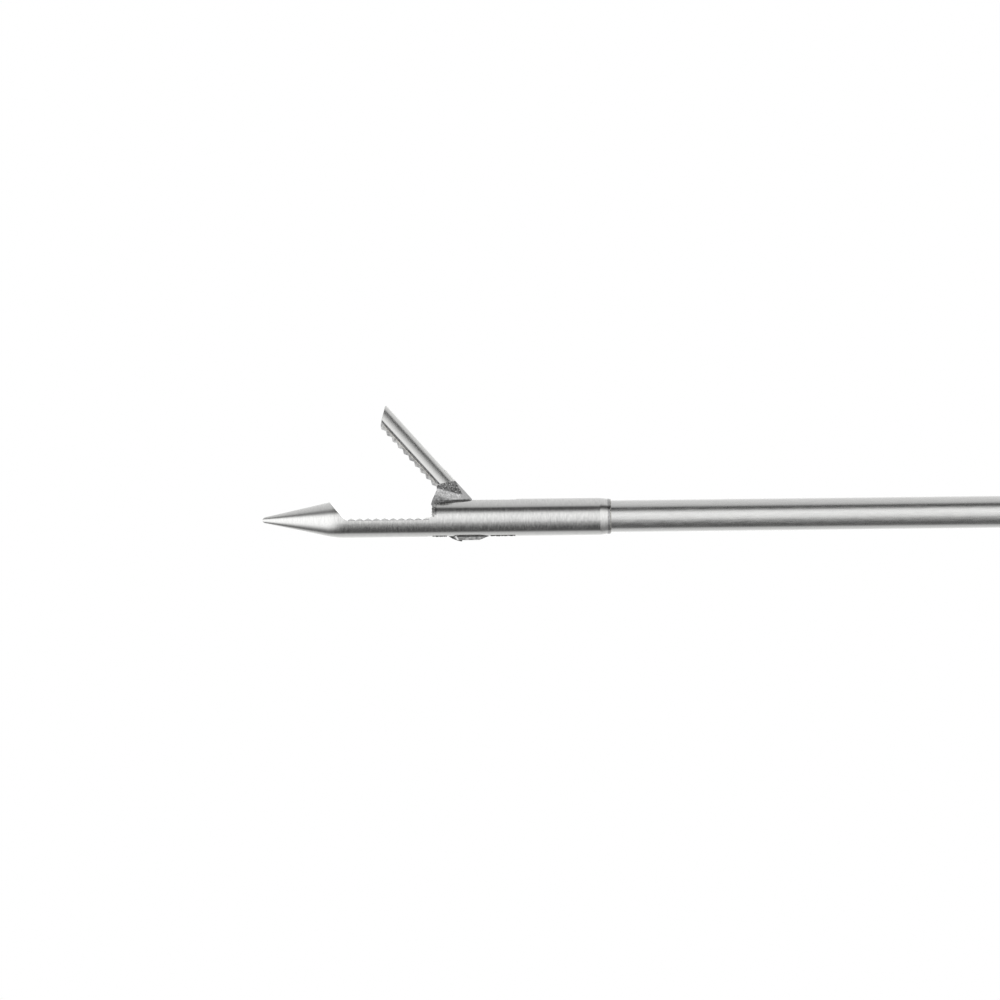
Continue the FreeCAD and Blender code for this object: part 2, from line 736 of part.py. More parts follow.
def makeSetScrew():
    """The grub screw that holds the knob on the ferrule, with a slotted outer end."""
    body = newBody("knob_set_screw")
    foot = "(0 - ferrule_radius - fixed_fit)"
    end = f"({foot} - set_screw_length)"
    turn(body, "SetScrewProfile", [
        (foot, "0"),
        (foot, "set_screw_point"),
        (f"{foot} - set_screw_bevel", "set_screw_radius"),
        (end, "set_screw_radius"),
        (end, "0"),
    ], "Z")
    slot = outline(body, "DriverSlot", "YZ_Plane", [
        ("0 - set_screw_slot_width / 2", f"{end} - set_screw_slot_depth"),
        ("set_screw_slot_width / 2", f"{end} - set_screw_slot_depth"),
        ("set_screw_slot_width / 2", f"{end} + set_screw_slot_depth"),
        ("0 - set_screw_slot_width / 2", f"{end} + set_screw_slot_depth"),
    ])
    cut(body, slot)
    placeBody(body, "wheel_x + wheel_length / 2")
    return body


def makeRetainingRing():
    """The open snap ring in the stem's groove that keeps the knob in the barrel."""
    body = tubePiece("retaining_ring", "ring_x + fixed_fit", "ring_x + ring_thickness - fixed_fit",
                     "ring_radius", "stem_radius - ring_groove_depth + fixed_fit")
    gap = outline(body, "RingGap", "YZ_Plane", [
        ("0 - ring_inset", "0"),
        ("ring_inset", "0"),
        ("ring_inset", "2 * ring_radius"),
        ("0 - ring_inset", "2 * ring_radius"),
    ])
    cut(body, gap, "4 * (ring_x + ring_radius)")
    return body


def longEdges(edge):
    return edge.Length > value("2 * ring_outer")


def addRing(body, name, x, z):
    """A finger ring turned about an axis along Y: a flat bore wall and rounded edges."""
    half = "(ring_depth / 2)"
    flat = "(ring_depth / 2 - ring_edge)"
    near = "ring_edge * (1 - cos(45))"
    profile = outline(body, name, "XY_Plane", [
        ("ring_bore", f"0 - {flat}"),
        ("ring_bore", flat),
        ("via", f"ring_bore + {near}", f"{half} - {near}"),
        ("ring_bore + ring_edge", half),
        ("ring_outer - ring_edge", half),
        ("via", f"ring_outer - {near}", f"{half} - {near}"),
        ("ring_outer", flat),
        ("ring_outer", f"0 - {flat}"),
        ("via", f"ring_outer - {near}", f"{near} - {half}"),
        ("ring_outer - ring_edge", f"0 - {half}"),
        ("ring_bore + ring_edge", f"0 - {half}"),
        ("via", f"ring_bore + {near}", f"{near} - {half}"),
    ], offset=z, shift=x)
    feature = body.newObject("PartDesign::Revolution", name + "Turn")
    feature.Profile = profile
    feature.ReferenceAxis = (profile, ["V_Axis"])
    doc.recompute()


def addFingerRest(body, x, z):
    """The open hook below the finger ring: part of a round ring with a ball on its end."""
    section = roundSketch(body, "RestSection", "XY_Plane", ("0 - rest_bend", "0"),
                          "rest_radius", offset=z, shift=x)
    hook = body.newObject("PartDesign::Revolution", "RestTurn")
    hook.Profile = section
    hook.ReferenceAxis = (section, ["V_Axis"])
    hook.Midplane = True
    hook.setExpression("Angle", bound("rest_angle"))
    doc.recompute()
    end = body.newObject("PartDesign::AdditiveSphere", "RestEnd")
    end.setExpression("Radius", bound("rest_radius"))
    end.setExpression("Placement.Base.x", bound(f"{x} - rest_bend * cos(rest_angle / 2)"))
    end.setExpression("Placement.Base.z", bound(f"{z} - rest_bend * sin(rest_angle / 2)"))
    doc.recompute()


def makeHandleFrame():
    """The fixed handle: barrel, rear cheeks, finger ring and rest in one forging."""
    body = newBody("handle_frame")
    ring_x = "(barrel_x + finger_ring_back - ring_outer)"
    ring_z = "(0 - finger_ring_drop)"
    belly = f"(({ring_z} - lever_arm) / 2)"
    shank = outline(body, "Shank", "XZ_Plane", [
        ("barrel_end - cheek_length / 2", "0 - lever_arm"),
        ("barrel_end + stop_radius", "0 - lever_arm - cheek_height / 2"),
        ("barrel_end + stop_radius", "0 - lever_arm - cheek_height"),
        ("via", f"({ring_x} + ring_outer + barrel_end) / 2 + shank_bow", belly),
        (f"{ring_x} + ring_outer - ring_wall / 4", ring_z),
        (f"{ring_x} + ring_outer * cos(shank_ring_angle)",
         f"{ring_z} + ring_outer * sin(shank_ring_angle)"),
        ("via", f"({ring_x} + ring_outer + barrel_end) / 2 + shank_bow - shank_width", belly),
        ("barrel_end - shank_root", "0 - lever_arm"),
    ])
    pad(body, shank, "shank_thickness")
    soften(body, "shank_edge", longEdges)
    turn(body, "Barrel", [
        ("barrel_x", "0"),
        ("barrel_x", "barrel_radius - barrel_round"),
        ("via", "barrel_x + barrel_round * (1 - sin(45))",
         "barrel_radius - barrel_round * (1 - cos(45))"),
        ("barrel_x + barrel_round", "barrel_radius"),
        ("barrel_end", "barrel_radius"),
        ("barrel_end", "0"),
    ])
    cheek = outline(body, "Cheeks", "XZ_Plane", [
        ("barrel_end - cheek_height", "cheek_height"),
        ("cheek_end - cheek_round", "cheek_height"),
        ("via", "cheek_end - cheek_round * (1 - sin(45))",
         "cheek_height - cheek_round * (1 - cos(45))"),
        ("cheek_end", "cheek_height - cheek_round"),
        ("cheek_end", "0 - lever_arm"),
        ("via", "cheek_end - cheek_height * (1 - cos(45))", "0 - lever_arm - cheek_height * sin(45)"),
        ("cheek_end - cheek_height", "0 - lever_arm - cheek_height"),
        ("barrel_end - cheek_height", "0 - lever_arm - cheek_height"),
    ])
    pad(body, cheek, "cheek_width")
    boss = roundSketch(body, "PortBoss", "XY_Plane", ("port_x", "0"),
                       "port_flange_radius + port_boss_height")
    pad(body, boss, "port_seat", "One side")
    addRing(body, "FingerRing", ring_x, ring_z)
    addFingerRest(body, f"({ring_x} - rest_shift)", f"({ring_z} - ring_bore - rest_bend)")
    turn(body, "BarrelBore", [
        ("barrel_x - washer_thickness", "0"),
        ("barrel_x - washer_thickness", "stem_radius + running_fit"),
        ("cavity_x", "stem_radius + running_fit"),
        ("cavity_x", "cavity_radius"),
        ("barrel_end", "cavity_radius"),
        ("barrel_end", "2 * rod_radius"),
        ("cheek_end + barrel_radius", "2 * rod_radius"),
        ("cheek_end + barrel_radius", "0"),
    ], groove=True)
    lever_slot = outline(body, "LeverSlot", "XY_Plane", [
        ("barrel_end", "0 - cheek_slot / 2"),
        ("cheek_end + cheek_height", "0 - cheek_slot / 2"),
        ("cheek_end + cheek_height", "cheek_slot / 2"),
        ("barrel_end", "cheek_slot / 2"),
    ], offset="2 * cheek_height")
    cut(body, lever_slot, "lever_arm + 3 * cheek_height", "One side")
    pivot = roundSketch(body, "PivotHole", "XZ_Plane", ("lever_x", "0 - lever_arm"),
                        "screw_radius + fixed_fit")
    cut(body, pivot)
    port = roundSketch(body, "PortHole", "XY_Plane", ("port_x", "0"),
                       "port_thread_radius + fixed_fit", offset="2 * barrel_radius")
    cut(body, port, "2 * barrel_radius", "One side")
    stop = roundSketch(body, "StopHole", "YZ_Plane", ("0", "0 - stop_drop"),
                       "stop_radius + fixed_fit", offset="barrel_end + stop_radius")
    cut(body, stop, "2 * stop_length", "One side")
    return body


def makeThumbLever():
    """The thumb lever, drawn upright about its pivot and then swung to the open position."""
    body = newBody("thumb_lever")
    half = "(cheek_height - lever_nose_gap)"
    crown = "(lever_arm + ball_radius + lever_crown)"
    ring_x = "thumb_ring_back"
    ring_z = "(0 - thumb_ring_drop)"
    shank = outline(body, "LeverShank", "XZ_Plane", [
        (f"{half} * cos(lever_root_angle)", f"{half} * sin(lever_root_angle)"),
        (f"{half} * cos(lever_rear_angle)", f"0 - {half} * sin(lever_rear_angle)"),
        ("via", f"({ring_x} + shank_width) / 2 + lever_bow", "0 - lever_bow_drop"),
        (f"{ring_x} + ring_outer * cos(lever_ring_angle)",
         f"{ring_z} + ring_outer * sin(lever_ring_angle)"),
        (f"{ring_x} - ring_outer + ring_wall / 4", ring_z),
        ("via", f"({ring_x} - shank_width) / 2 + lever_waist", "0 - lever_waist_drop"),
        (f"0 - {half} * cos(lever_front_angle)", f"0 - {half} * sin(lever_front_angle)"),
        (f"0 - {half} * cos(lever_front_angle)", f"{half} * sin(lever_root_angle)"),
    ])
    pad(body, shank, "shank_thickness")
    soften(body, "shank_edge", longEdges)
    head = outline(body, "LeverHead", "XZ_Plane", [
        (f"0 - {half} + lever_crown", crown),
        (f"{half} - lever_crown", crown),
        (half, f"{crown} - lever_crown"),
        (half, "0"),
        ("via", f"{half} * cos(45)", f"0 - {half} * sin(45)"),
        ("0", f"0 - {half}"),
        ("via", f"0 - {half} * cos(45)", f"0 - {half} * sin(45)"),
        (f"0 - {half}", "0"),
        (f"0 - {half}", f"{crown} - lever_crown"),
    ])
    pad(body, head, "lever_thickness")
    addRing(body, "ThumbRing", ring_x, ring_z)
    bore = roundSketch(body, "ThumbBore", "XZ_Plane", (ring_x, ring_z), "ring_bore")
    cut(body, bore)
    # The ball sits in a slot that is open at the top, and the rod passes through a slit.
    well = outline(body, "BallSlot", "XZ_Plane", [
        ("0 - ball_radius - running_fit", "lever_arm - ball_slot_floor"),
        ("via", "0", "lever_arm - ball_radius - lever_crown"),
        ("ball_radius + running_fit", "lever_arm - ball_slot_floor"),
        ("ball_radius + running_fit", f"{crown} + lever_crown"),
        ("0 - ball_radius - running_fit", f"{crown} + lever_crown"),
    ])
    cut(body, well)
    side = "(nut_across / 2 / cos(30) + nut_slit_gap)"
    slit = outline(body, "RodSlit", "YZ_Plane", [
        (f"0 - {side}", f"lever_arm - {side}"),
        (side, f"lever_arm - {side}"),
        (side, f"{crown} + lever_crown"),
        (f"0 - {side}", f"{crown} + lever_crown"),
    ])
    cut(body, slit)
    pivot = roundSketch(body, "LeverBore", "XZ_Plane", ("0", "0"), "bush_radius + fixed_fit")
    cut(body, pivot)
    placeBody(body, "lever_x", "0", "0 - lever_arm", (0, -1, 0), "lever_swing / 2")
    return body


def makePivotBush():
    body = newBody("pivot_bush")
    turn(body, "BushProfile", [
        ("0 - lever_thickness / 2", "screw_radius + running_fit"),
        ("0 - lever_thickness / 2", "bush_radius"),
        ("lever_thickness / 2", "bush_radius"),
        ("lever_thickness / 2", "screw_radius + running_fit"),
    ], "Y")
    placeBody(body, "lever_x", "0", "0 - lever_arm")
    return body


def makePivotScrew():
    """The slotted screw through both cheeks, its head on the near side."""
    body = newBody("pivot_screw")
    near = "(0 - cheek_width / 2)"
    top = f"({near} - screw_head_height)"
    turn(body, "ScrewProfile", [
        (top, "0"),
        (top, "screw_head_radius - screw_head_round"),
        ("via", f"{top} + screw_head_dome * (1 - sin(45))",
         "screw_head_radius - screw_head_round * (1 - cos(45))"),
        (f"{top} + screw_head_dome", "screw_head_radius"),
        (near, "screw_head_radius"),
        (near, "screw_radius"),
        ("cheek_width / 2 + pivot_nut_height + screw_slot_depth", "screw_radius"),
        ("cheek_width / 2 + pivot_nut_height + screw_slot_depth", "0"),
    ], "Y")
    slot = outline(body, "ScrewSlot", "YZ_Plane", [
        (f"{top} - screw_slot_depth", "0 - screw_slot_width / 2"),
        (f"{top} + screw_slot_depth", "0 - screw_slot_width / 2"),
        (f"{top} + screw_slot_depth", "screw_slot_width / 2"),
        (f"{top} - screw_slot_depth", "screw_slot_width / 2"),
    ])
    cut(body, slot)
    placeBody(body, "lever_x", "0", "0 - lever_arm")
    return body


def makePivotNut():
    body = newBody("pivot_nut")
    flats = outline(body, "NutFlats", "XZ_Plane", hexPoints("pivot_nut_across"),
                    offset="0 - cheek_width / 2 - pivot_nut_height")
    pad(body, flats, "pivot_nut_height", "One side")
    hole = roundSketch(body, "NutHole", "XZ_Plane", ("0", "0"), "screw_radius + fixed_fit")
    cut(body, hole)
    placeBody(body, "lever_x", "0", "0 - lever_arm")
    return body


def makeRodBall():
    """The drilled ball on the rod's rear end that the thumb lever carries."""
    body = newBody("rod_ball")
    flat = "sqrt(ball_radius ^ 2 - nut_across ^ 2 / 4)"
    turn(body, "BallProfile", [
        (f"0 - {flat}", "rod_radius + fixed_fit"),
        (f"0 - {flat}", "nut_across / 2"),
        ("via", "0", "ball_radius"),
        (flat, "nut_across / 2"),
        (flat, "rod_radius + fixed_fit"),
    ])
    placeBody(body, "ball_x")
    return body


def makeRodNut():
    body = newBody("rod_lock_nut")
    flat = "sqrt(ball_radius ^ 2 - nut_across ^ 2 / 4)"
    flats = outline(body, "LockNutFlats", "YZ_Plane", hexPoints("nut_across"), offset=flat)
    pad(body, flats, "nut_length", "One side")
    hole = roundSketch(body, "LockNutHole", "YZ_Plane", ("0", "0"), "rod_radius + fixed_fit")
    cut(body, hole)
    placeBody(body, "ball_x")
    return body


def makeGlandNut():
    """The screwed plug that closes the barrel round the rod and holds the seal ring."""
    body = newBody("gland_nut")
    pocket_r = "(rod_radius + running_fit + 2 * seal_section)"
    turn(body, "GlandProfile", [
        ("gland_x", f"{pocket_r} + running_fit"),
        ("gland_x", "cavity_radius - fixed_fit"),
        ("barrel_end", "cavity_radius - fixed_fit"),
        ("barrel_end", "rod_radius + running_fit"),
        ("gland_x + seal_pocket", "rod_radius + running_fit"),
        ("gland_x + seal_pocket", f"{pocket_r} + running_fit"),
    ])
    slot = outline(body, "GlandSlot", "XZ_Plane", [
        ("barrel_end - gland_slot_depth", "0 - gland_slot_width / 2"),
        ("barrel_end + gland_slot_depth", "0 - gland_slot_width / 2"),
        ("barrel_end + gland_slot_depth", "gland_slot_width / 2"),
        ("barrel_end - gland_slot_depth", "gland_slot_width / 2"),
    ])
    cut(body, slot)
    return body


def makeSealRing():
    ring = doc.addObject("Part::Torus", "seal_ring")
    ring.Label = "seal_ring"
    ring.Placement = FreeCAD.Placement(FreeCAD.Vector(), FreeCAD.Rotation(FreeCAD.Vector(0, 1, 0), 90))
    ring.setExpression("Radius1", bound("rod_radius + running_fit + seal_section"))
    ring.setExpression("Radius2", bound("seal_section"))
    ring.setExpression("Placement.Base.x", bound("gland_x + seal_pocket - seal_section"))
    doc.recompute()
    return ring


def makeFlushPort():
    """The female flushing connector screwed into the top of the barrel."""
    body = newBody("flush_port")
    turn(body, "PortProfile", [
        ("cavity_radius + port_boss_height", "port_throat_radius"),
        ("cavity_radius + port_boss_height", "port_thread_radius"),
        ("port_seat", "port_thread_radius"),
        ("port_seat", "port_flange_radius"),
        ("port_seat + port_flange_height", "port_flange_radius"),
        ("port_seat + port_flange_height", "port_body_radius"),
        ("port_top - port_ear_height", "port_body_radius"),
        ("port_top - port_ear_height", "port_ear_radius"),
        ("port_top", "port_ear_radius"),
        ("port_top", "port_bore_radius"),
        ("port_seat + port_flange_height", "port_bore_radius"),
        ("port_seat + port_flange_height", "port_throat_radius"),
    ], "Z")
    for name, plane in (("EarFlatNear", "port_ear_radius"), ("EarFlatFar", "0 - port_body_radius")):
        flat = outline(body, name, "XZ_Plane", [
            ("0 - port_ear_radius", "port_top - port_ear_height"),
            ("port_ear_radius", "port_top - port_ear_height"),
            ("port_ear_radius", "port_top + port_ear_height"),
            ("0 - port_ear_radius", "port_top + port_ear_height"),
        ], offset=plane)
        cut(body, flat, "port_ear_radius - port_body_radius", "One side")
    placeBody(body, "port_x")
    return body


def makeFlushCap():
    """The ribbed cap over the flushing port, with a plug inside."""
    body = newBody("flush_cap")
    roof = "(port_top + gasket_thickness)"
    wall = "(port_ear_radius + cap_gap)"
    turn(body, "CapProfile", [
        (f"{roof} + cap_roof", "0"),
        (f"{roof} + cap_roof", "cap_radius - cap_round"),
        ("via", f"{roof} + cap_roof - cap_round * (1 - sin(45))",
         "cap_radius - cap_round * (1 - cos(45))"),
        (f"{roof} + cap_roof - cap_round", "cap_radius"),
        (f"{roof} + cap_roof - cap_height", "cap_radius"),
        (f"{roof} + cap_roof - cap_height", wall),
        (roof, wall),
        (roof, "port_bore_radius - cap_gap"),
        (f"{roof} - cap_plug_length", "port_bore_radius - cap_gap"),
        (f"{roof} - cap_plug_length", "0"),
    ], "Z")
    rib = roundSketch(body, "CapGrip", "XY_Plane",
                      ("cap_radius + cap_rib_radius - cap_rib_depth", "0"), "cap_rib_radius",
                      offset=f"{roof} + cap_height")
    groove = cut(body, rib, "2 * cap_height", "One side")
    repeat(body, groove, rib, "cap_rib_count")
    placeBody(body, "port_x")
    return body


def makeCapGasket():
    body = newBody("cap_gasket")
    turn(body, "GasketProfile", [
        ("port_top", "port_bore_radius"),
        ("port_top", "port_ear_radius"),
        ("port_top + gasket_thickness", "port_ear_radius"),
        ("port_top + gasket_thickness", "port_bore_radius"),
    ], "Z")
    placeBody(body, "port_x")
    return body


def makeStopScrew():
    """The slotted screw that limits how far the thumb lever closes."""
    body = newBody("stop_screw")
    tip = "(lever_x - cheek_height + lever_nose_gap - stop_gap - stroke / 2)"
    turn(body, "StopProfile", [
        (f"{tip} - stop_length", "0"),
        (f"{tip} - stop_length", "stop_radius"),
        (f"{tip} - stop_bevel", "stop_radius"),
        (tip, "stop_radius - stop_bevel"),
        (tip, "0"),
    ])
    slot = outline(body, "StopSlot", "XZ_Plane", [
        (f"{tip} - stop_length - stop_slot_depth", "0 - stop_slot_width / 2"),
        (f"{tip} - stop_length + stop_slot_depth", "0 - stop_slot_width / 2"),
        (f"{tip} - stop_length + stop_slot_depth", "stop_slot_width / 2"),
        (f"{tip} - stop_length - stop_slot_depth", "stop_slot_width / 2"),
    ])
    cut(body, slot)
    placeBody(body, "0", "0", "0 - stop_drop")
    return body


pieces = [
    makeJawHead(),
    makeJawPin(),
    makeJaw(),
    makeJawInsert(),
    makeDriveTang(),
    makeDrivePin(),
    tubePiece("outer_tube", "0 - socket_depth", "ferrule_end", "tube_radius",
              "tube_radius - tube_wall"),
    tubePiece("drive_rod", "stub_length - stub_front",
              "ball_x + ball_radius + nut_length + rod_tail", "rod_radius"),
    tubePiece("tube_ferrule", "ferrule_x", "ferrule_end", "ferrule_radius",
              "tube_radius + fixed_fit"),
    makeKnob(),
    makeSetScrew(),
    makeRetainingRing(),
    tubePiece("thrust_washer", "stem_x", "barrel_x", "washer_radius",
              "stem_radius + running_fit"),
    makeHandleFrame(),
    makeGlandNut(),
    makeSealRing(),
    makeFlushPort(),
    makeFlushCap(),
    makeCapGasket(),
    makeThumbLever(),
    makePivotBush(),
    makePivotScrew(),
    makePivotNut(),
    makeStopScrew(),
    makeRodBall(),
    makeRodNut(),
]

doc.recompute()
for item in doc.Objects:
    if any(word in ("Invalid", "Error") for word in item.State):
        raise RuntimeError(f"{item.Name} did not build: {item.State}")

os.makedirs("parts", exist_ok=True)
for piece in pieces:
    shape = piece.Shape
    if shape.isNull() or not shape.isValid() or len(shape.Solids) != 1:
        raise RuntimeError(f"{piece.Label} is not one valid solid")
    shape.exportStep(f"parts/{piece.Label}.step")
    box = shape.BoundBox
    print(f"{piece.Label:16} solids {len(shape.Solids)} volume {shape.Volume:9.3f}"
          f"  x {box.XMin:8.2f} {box.XMax:8.2f}  y {box.YMin:6.2f} {box.YMax:6.2f}"
          f"  z {box.ZMin:7.2f} {box.ZMax:7.2f}")
print(f"rod stroke {value('stroke'):.4f}  lever swing {value('lever_swing'):.3f} degrees")
print(f"lever pivot x {value('lever_x'):.4f}  ball x {value('ball_x'):.4f}")
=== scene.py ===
import json
import math
import random

import bmesh
import bpy
from mathutils import Matrix, Vector


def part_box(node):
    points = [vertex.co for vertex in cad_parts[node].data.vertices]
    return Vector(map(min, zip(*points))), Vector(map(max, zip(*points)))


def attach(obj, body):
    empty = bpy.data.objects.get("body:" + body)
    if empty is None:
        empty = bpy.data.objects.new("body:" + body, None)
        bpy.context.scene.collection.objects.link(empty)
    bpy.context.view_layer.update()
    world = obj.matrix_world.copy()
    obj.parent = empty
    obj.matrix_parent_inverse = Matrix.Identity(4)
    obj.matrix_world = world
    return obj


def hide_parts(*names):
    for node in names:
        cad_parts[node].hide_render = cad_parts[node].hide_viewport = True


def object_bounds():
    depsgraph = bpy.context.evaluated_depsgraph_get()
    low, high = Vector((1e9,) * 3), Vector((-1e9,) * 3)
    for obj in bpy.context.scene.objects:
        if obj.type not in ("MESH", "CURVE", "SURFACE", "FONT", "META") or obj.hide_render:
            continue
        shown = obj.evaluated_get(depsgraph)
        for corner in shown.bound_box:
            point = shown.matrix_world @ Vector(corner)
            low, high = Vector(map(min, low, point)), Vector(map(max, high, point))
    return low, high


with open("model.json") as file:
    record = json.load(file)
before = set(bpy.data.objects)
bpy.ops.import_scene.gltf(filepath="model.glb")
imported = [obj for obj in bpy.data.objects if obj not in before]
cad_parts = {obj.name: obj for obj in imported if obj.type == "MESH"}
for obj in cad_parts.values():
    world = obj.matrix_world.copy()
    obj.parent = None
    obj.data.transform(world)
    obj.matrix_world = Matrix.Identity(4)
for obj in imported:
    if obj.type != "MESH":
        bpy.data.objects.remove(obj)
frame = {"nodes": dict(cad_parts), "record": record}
cadLow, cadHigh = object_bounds()
print("stage: frame loaded")

mm = 0.001
joints = {joint["name"]: joint for joint in frame["record"]["behaviour"]["joints"]}
jawPivot = Vector(joints["jaw_close"]["pos_m"])
jawSwing = math.radians(joints["jaw_close"]["range_deg"][1])


# a place on the closed jaw, in millimetres from its pin, swung to where the open jaw has it
def jawPoint(along, height, side=0.0):
    return jawPivot + Matrix.Rotation(jawSwing, 3, "Y") @ Vector((along, side, height)) * mm


# camera: the photo's level side view of the head, 78 mm across the picture
cameraSetup = {
    "picturePixels": 1000,
    "millimetresPerPixel": 0.078,
    "shoulderPixel": (610.0, 516.4),   # where the axis passes the head's rear shoulder
    "lens": 200.0,
    "sensor": 36.0,
    "roll": 0.65,                      # the instrument rises a little to the right
    "clip": (0.01, 20.0),              # nearest and farthest that it sees, in metres
}


def makeCamera():
    width = cameraSetup["picturePixels"] * cameraSetup["millimetresPerPixel"] * mm
    half = cameraSetup["picturePixels"] / 2
    px, py = cameraSetup["shoulderPixel"]
    roll = math.radians(cameraSetup["roll"])
    scale = cameraSetup["millimetresPerPixel"] * mm
    right = Vector((math.cos(roll), 0, -math.sin(roll)))
    up = Vector((math.sin(roll), 0, math.cos(roll)))
    centre = right * ((half - px) * scale) + up * ((py - half) * scale)
    distance = width * cameraSetup["lens"] / cameraSetup["sensor"]
    data = bpy.data.cameras.new("camera")
    data.lens = cameraSetup["lens"]
    data.sensor_width = cameraSetup["sensor"]
    data.clip_start, data.clip_end = cameraSetup["clip"]
    camera = bpy.data.objects.new("camera", data)
    bpy.context.scene.collection.objects.link(camera)
    back = Vector((0, -1, 0))
    turn = Matrix((right, up, back)).transposed()
    camera.matrix_world = Matrix.Translation(centre + back * distance) @ turn.to_4x4()
    bpy.context.scene.camera = camera


makeCamera()
print("stage: camera")

# shader helpers: each gives back what its node or group puts out


def newMaterial(name):
    material = bpy.data.materials.new(name)
    material.use_nodes = True
    tree = material.node_tree
    tree.nodes.clear()
    return material, tree, tree.nodes.new("ShaderNodeOutputMaterial")


def newGroup(name, inputs, outputs):
    group = bpy.data.node_groups.new(name, "ShaderNodeTree")
    for label, kind, value in inputs:
        socket = group.interface.new_socket(name=label, in_out="INPUT", socket_type=kind)
        socket.default_value = value
    for label, kind in outputs:
        group.interface.new_socket(name=label, in_out="OUTPUT", socket_type=kind)
    given = group.nodes.new("NodeGroupInput").outputs
    return group, given, group.nodes.new("NodeGroupOutput")


# fills a node's sockets: what comes from a node is linked, and anything else is written there
def feed(tree, node, values):
    for label, value in values.items():
        socket = node.inputs[label]
        if isinstance(value, bpy.types.NodeSocket):
            tree.links.new(value, socket)
        elif socket.type == "RGBA":
            socket.default_value = (*value, 1)
        else:
            socket.default_value = value


def addNode(tree, kind, values):
    node = tree.nodes.new(kind)
    feed(tree, node, values)
    return node.outputs


def addGroup(tree, group, values):
    node = tree.nodes.new("ShaderNodeGroup")
    node.node_tree = group
    feed(tree, node, values)
    return node.outputs


def mathNode(tree, operation, a, b=0.0):
    node = tree.nodes.new("ShaderNodeMath")
    node.operation = operation
    feed(tree, node, {0: a, 1: b})
    return node.outputs[0]


def vectorNode(tree, operation, a, b):
    node = tree.nodes.new("ShaderNodeVectorMath")
    node.operation = operation
    feed(tree, node, {0: a, 1: b})
    return node.outputs["Value" if operation in ("DISTANCE", "DOT_PRODUCT") else "Vector"]


# spreads what lies between low and high over 0 to 1
def rangeNode(tree, value, low, high, smooth=False):
    node = tree.nodes.new("ShaderNodeMapRange")
    if smooth:
        node.interpolation_type = "SMOOTHSTEP"
    feed(tree, node, {"Value": value, "From Min": low, "From Max": high})
    return node.outputs["Result"]


def rampNode(tree, value, stops):
    node = tree.nodes.new("ShaderNodeValToRGB")
    elements = node.color_ramp.elements
    while len(elements) < len(stops):
        elements.new(0.5)
    for element, (position, level) in zip(elements, stops):
        element.position = position
        element.color = (level, level, level, 1)
    feed(tree, node, {"Fac": value})
    return node.outputs["Color"]


def mixColour(tree, factor, below, above):
    node = tree.nodes.new("ShaderNodeMix")
    node.data_type = "RGBA"
    places = {socket.name: place for place, socket in enumerate(node.inputs) if socket.enabled}
    feed(tree, node, {places["Factor"]: factor, places["A"]: below, places["B"]: above})
    return next(socket for socket in node.outputs if socket.enabled)


def objectPlace(tree):
    return tree.nodes.new("ShaderNodeTexCoord").outputs["Object"]


# brush or grinding marks: a noise stretched along its axes, so that it reads as fine lines
brushMarks = {"detail": 4.0, "roughness": 0.7, "spread": (0.3, 0.7)}


def makeMarksGroup():
    group, given, end = newGroup(
        "brushMarks",
        [("Stretch", "NodeSocketVector", (9000, 300, 300))],
        [("Mask", "NodeSocketFloat"), ("Height", "NodeSocketFloat")])
    stretched = vectorNode(group, "MULTIPLY", objectPlace(group), given["Stretch"])
    fine = addNode(group, "ShaderNodeTexNoise", {
        "Vector": stretched, "Scale": 1.0, "Detail": brushMarks["detail"],
        "Roughness": brushMarks["roughness"]})
    mask = rangeNode(group, fine["Fac"], *brushMarks["spread"])
    feed(group, end, {"Mask": mask, "Height": fine["Fac"]})
    return group


# rough skin of a casting or a blasted face: fine grain, and pits that are larger by their share
grainSkin = {"detail": 3.0, "roughness": 0.65, "pits": 0.6, "spread": (0.1, 0.42)}


def makeGrainGroup():
    group, given, end = newGroup(
        "grainSkin",
        [("Grain", "NodeSocketFloat", 9000.0)],
        [("Mask", "NodeSocketFloat"), ("Height", "NodeSocketFloat")])
    place = objectPlace(group)
    fine = addNode(group, "ShaderNodeTexNoise", {
        "Vector": place, "Scale": given["Grain"], "Detail": grainSkin["detail"],
        "Roughness": grainSkin["roughness"]})
    pits = group.nodes.new("ShaderNodeTexVoronoi")
    pits.feature = "SMOOTH_F1"
    pitScale = mathNode(group, "MULTIPLY", given["Grain"], grainSkin["pits"])
    feed(group, pits, {"Vector": place, "Scale": pitScale})
    both = mathNode(group, "MULTIPLY", fine["Fac"], pits.outputs["Distance"])
    feed(group, end, {"Mask": rangeNode(group, both, *grainSkin["spread"]), "Height": both})
    return group


# the part of a side face that lies to one side of a line, with a border that wanders a little
borderNoise = {"scale": 5000.0, "detail": 2.0}


def makeSideGroup():
    group, given, end = newGroup(
        "sideOfLine",
        [("Point", "NodeSocketVector", (0, 0, 0)), ("Across", "NodeSocketVector", (0, 0, 1)),
         ("Softness", "NodeSocketFloat", 0.00004), ("Wander", "NodeSocketFloat", 0.0)],
        [("Mask", "NodeSocketFloat")])
    place = objectPlace(group)
    away = vectorNode(group, "SUBTRACT", place, given["Point"])
    depth = vectorNode(group, "DOT_PRODUCT", away, given["Across"])
    ripple = addNode(group, "ShaderNodeTexNoise", {
        "Vector": place, "Scale": borderNoise["scale"], "Detail": borderNoise["detail"]})
    shift = mathNode(group, "SUBTRACT", ripple["Fac"], 0.5)
    shift = mathNode(group, "MULTIPLY", shift, given["Wander"])
    low = mathNode(group, "MULTIPLY", given["Softness"], -1)
    inside = rangeNode(group, mathNode(group, "ADD", depth, shift), low, given["Softness"],
                       smooth=True)
    feed(group, end, {"Mask": inside})
    return group


# small bright flecks, where the light catches single grains: each fades towards its cell's edge
fleckShape = {"edge": 0.55, "core": 0.2}


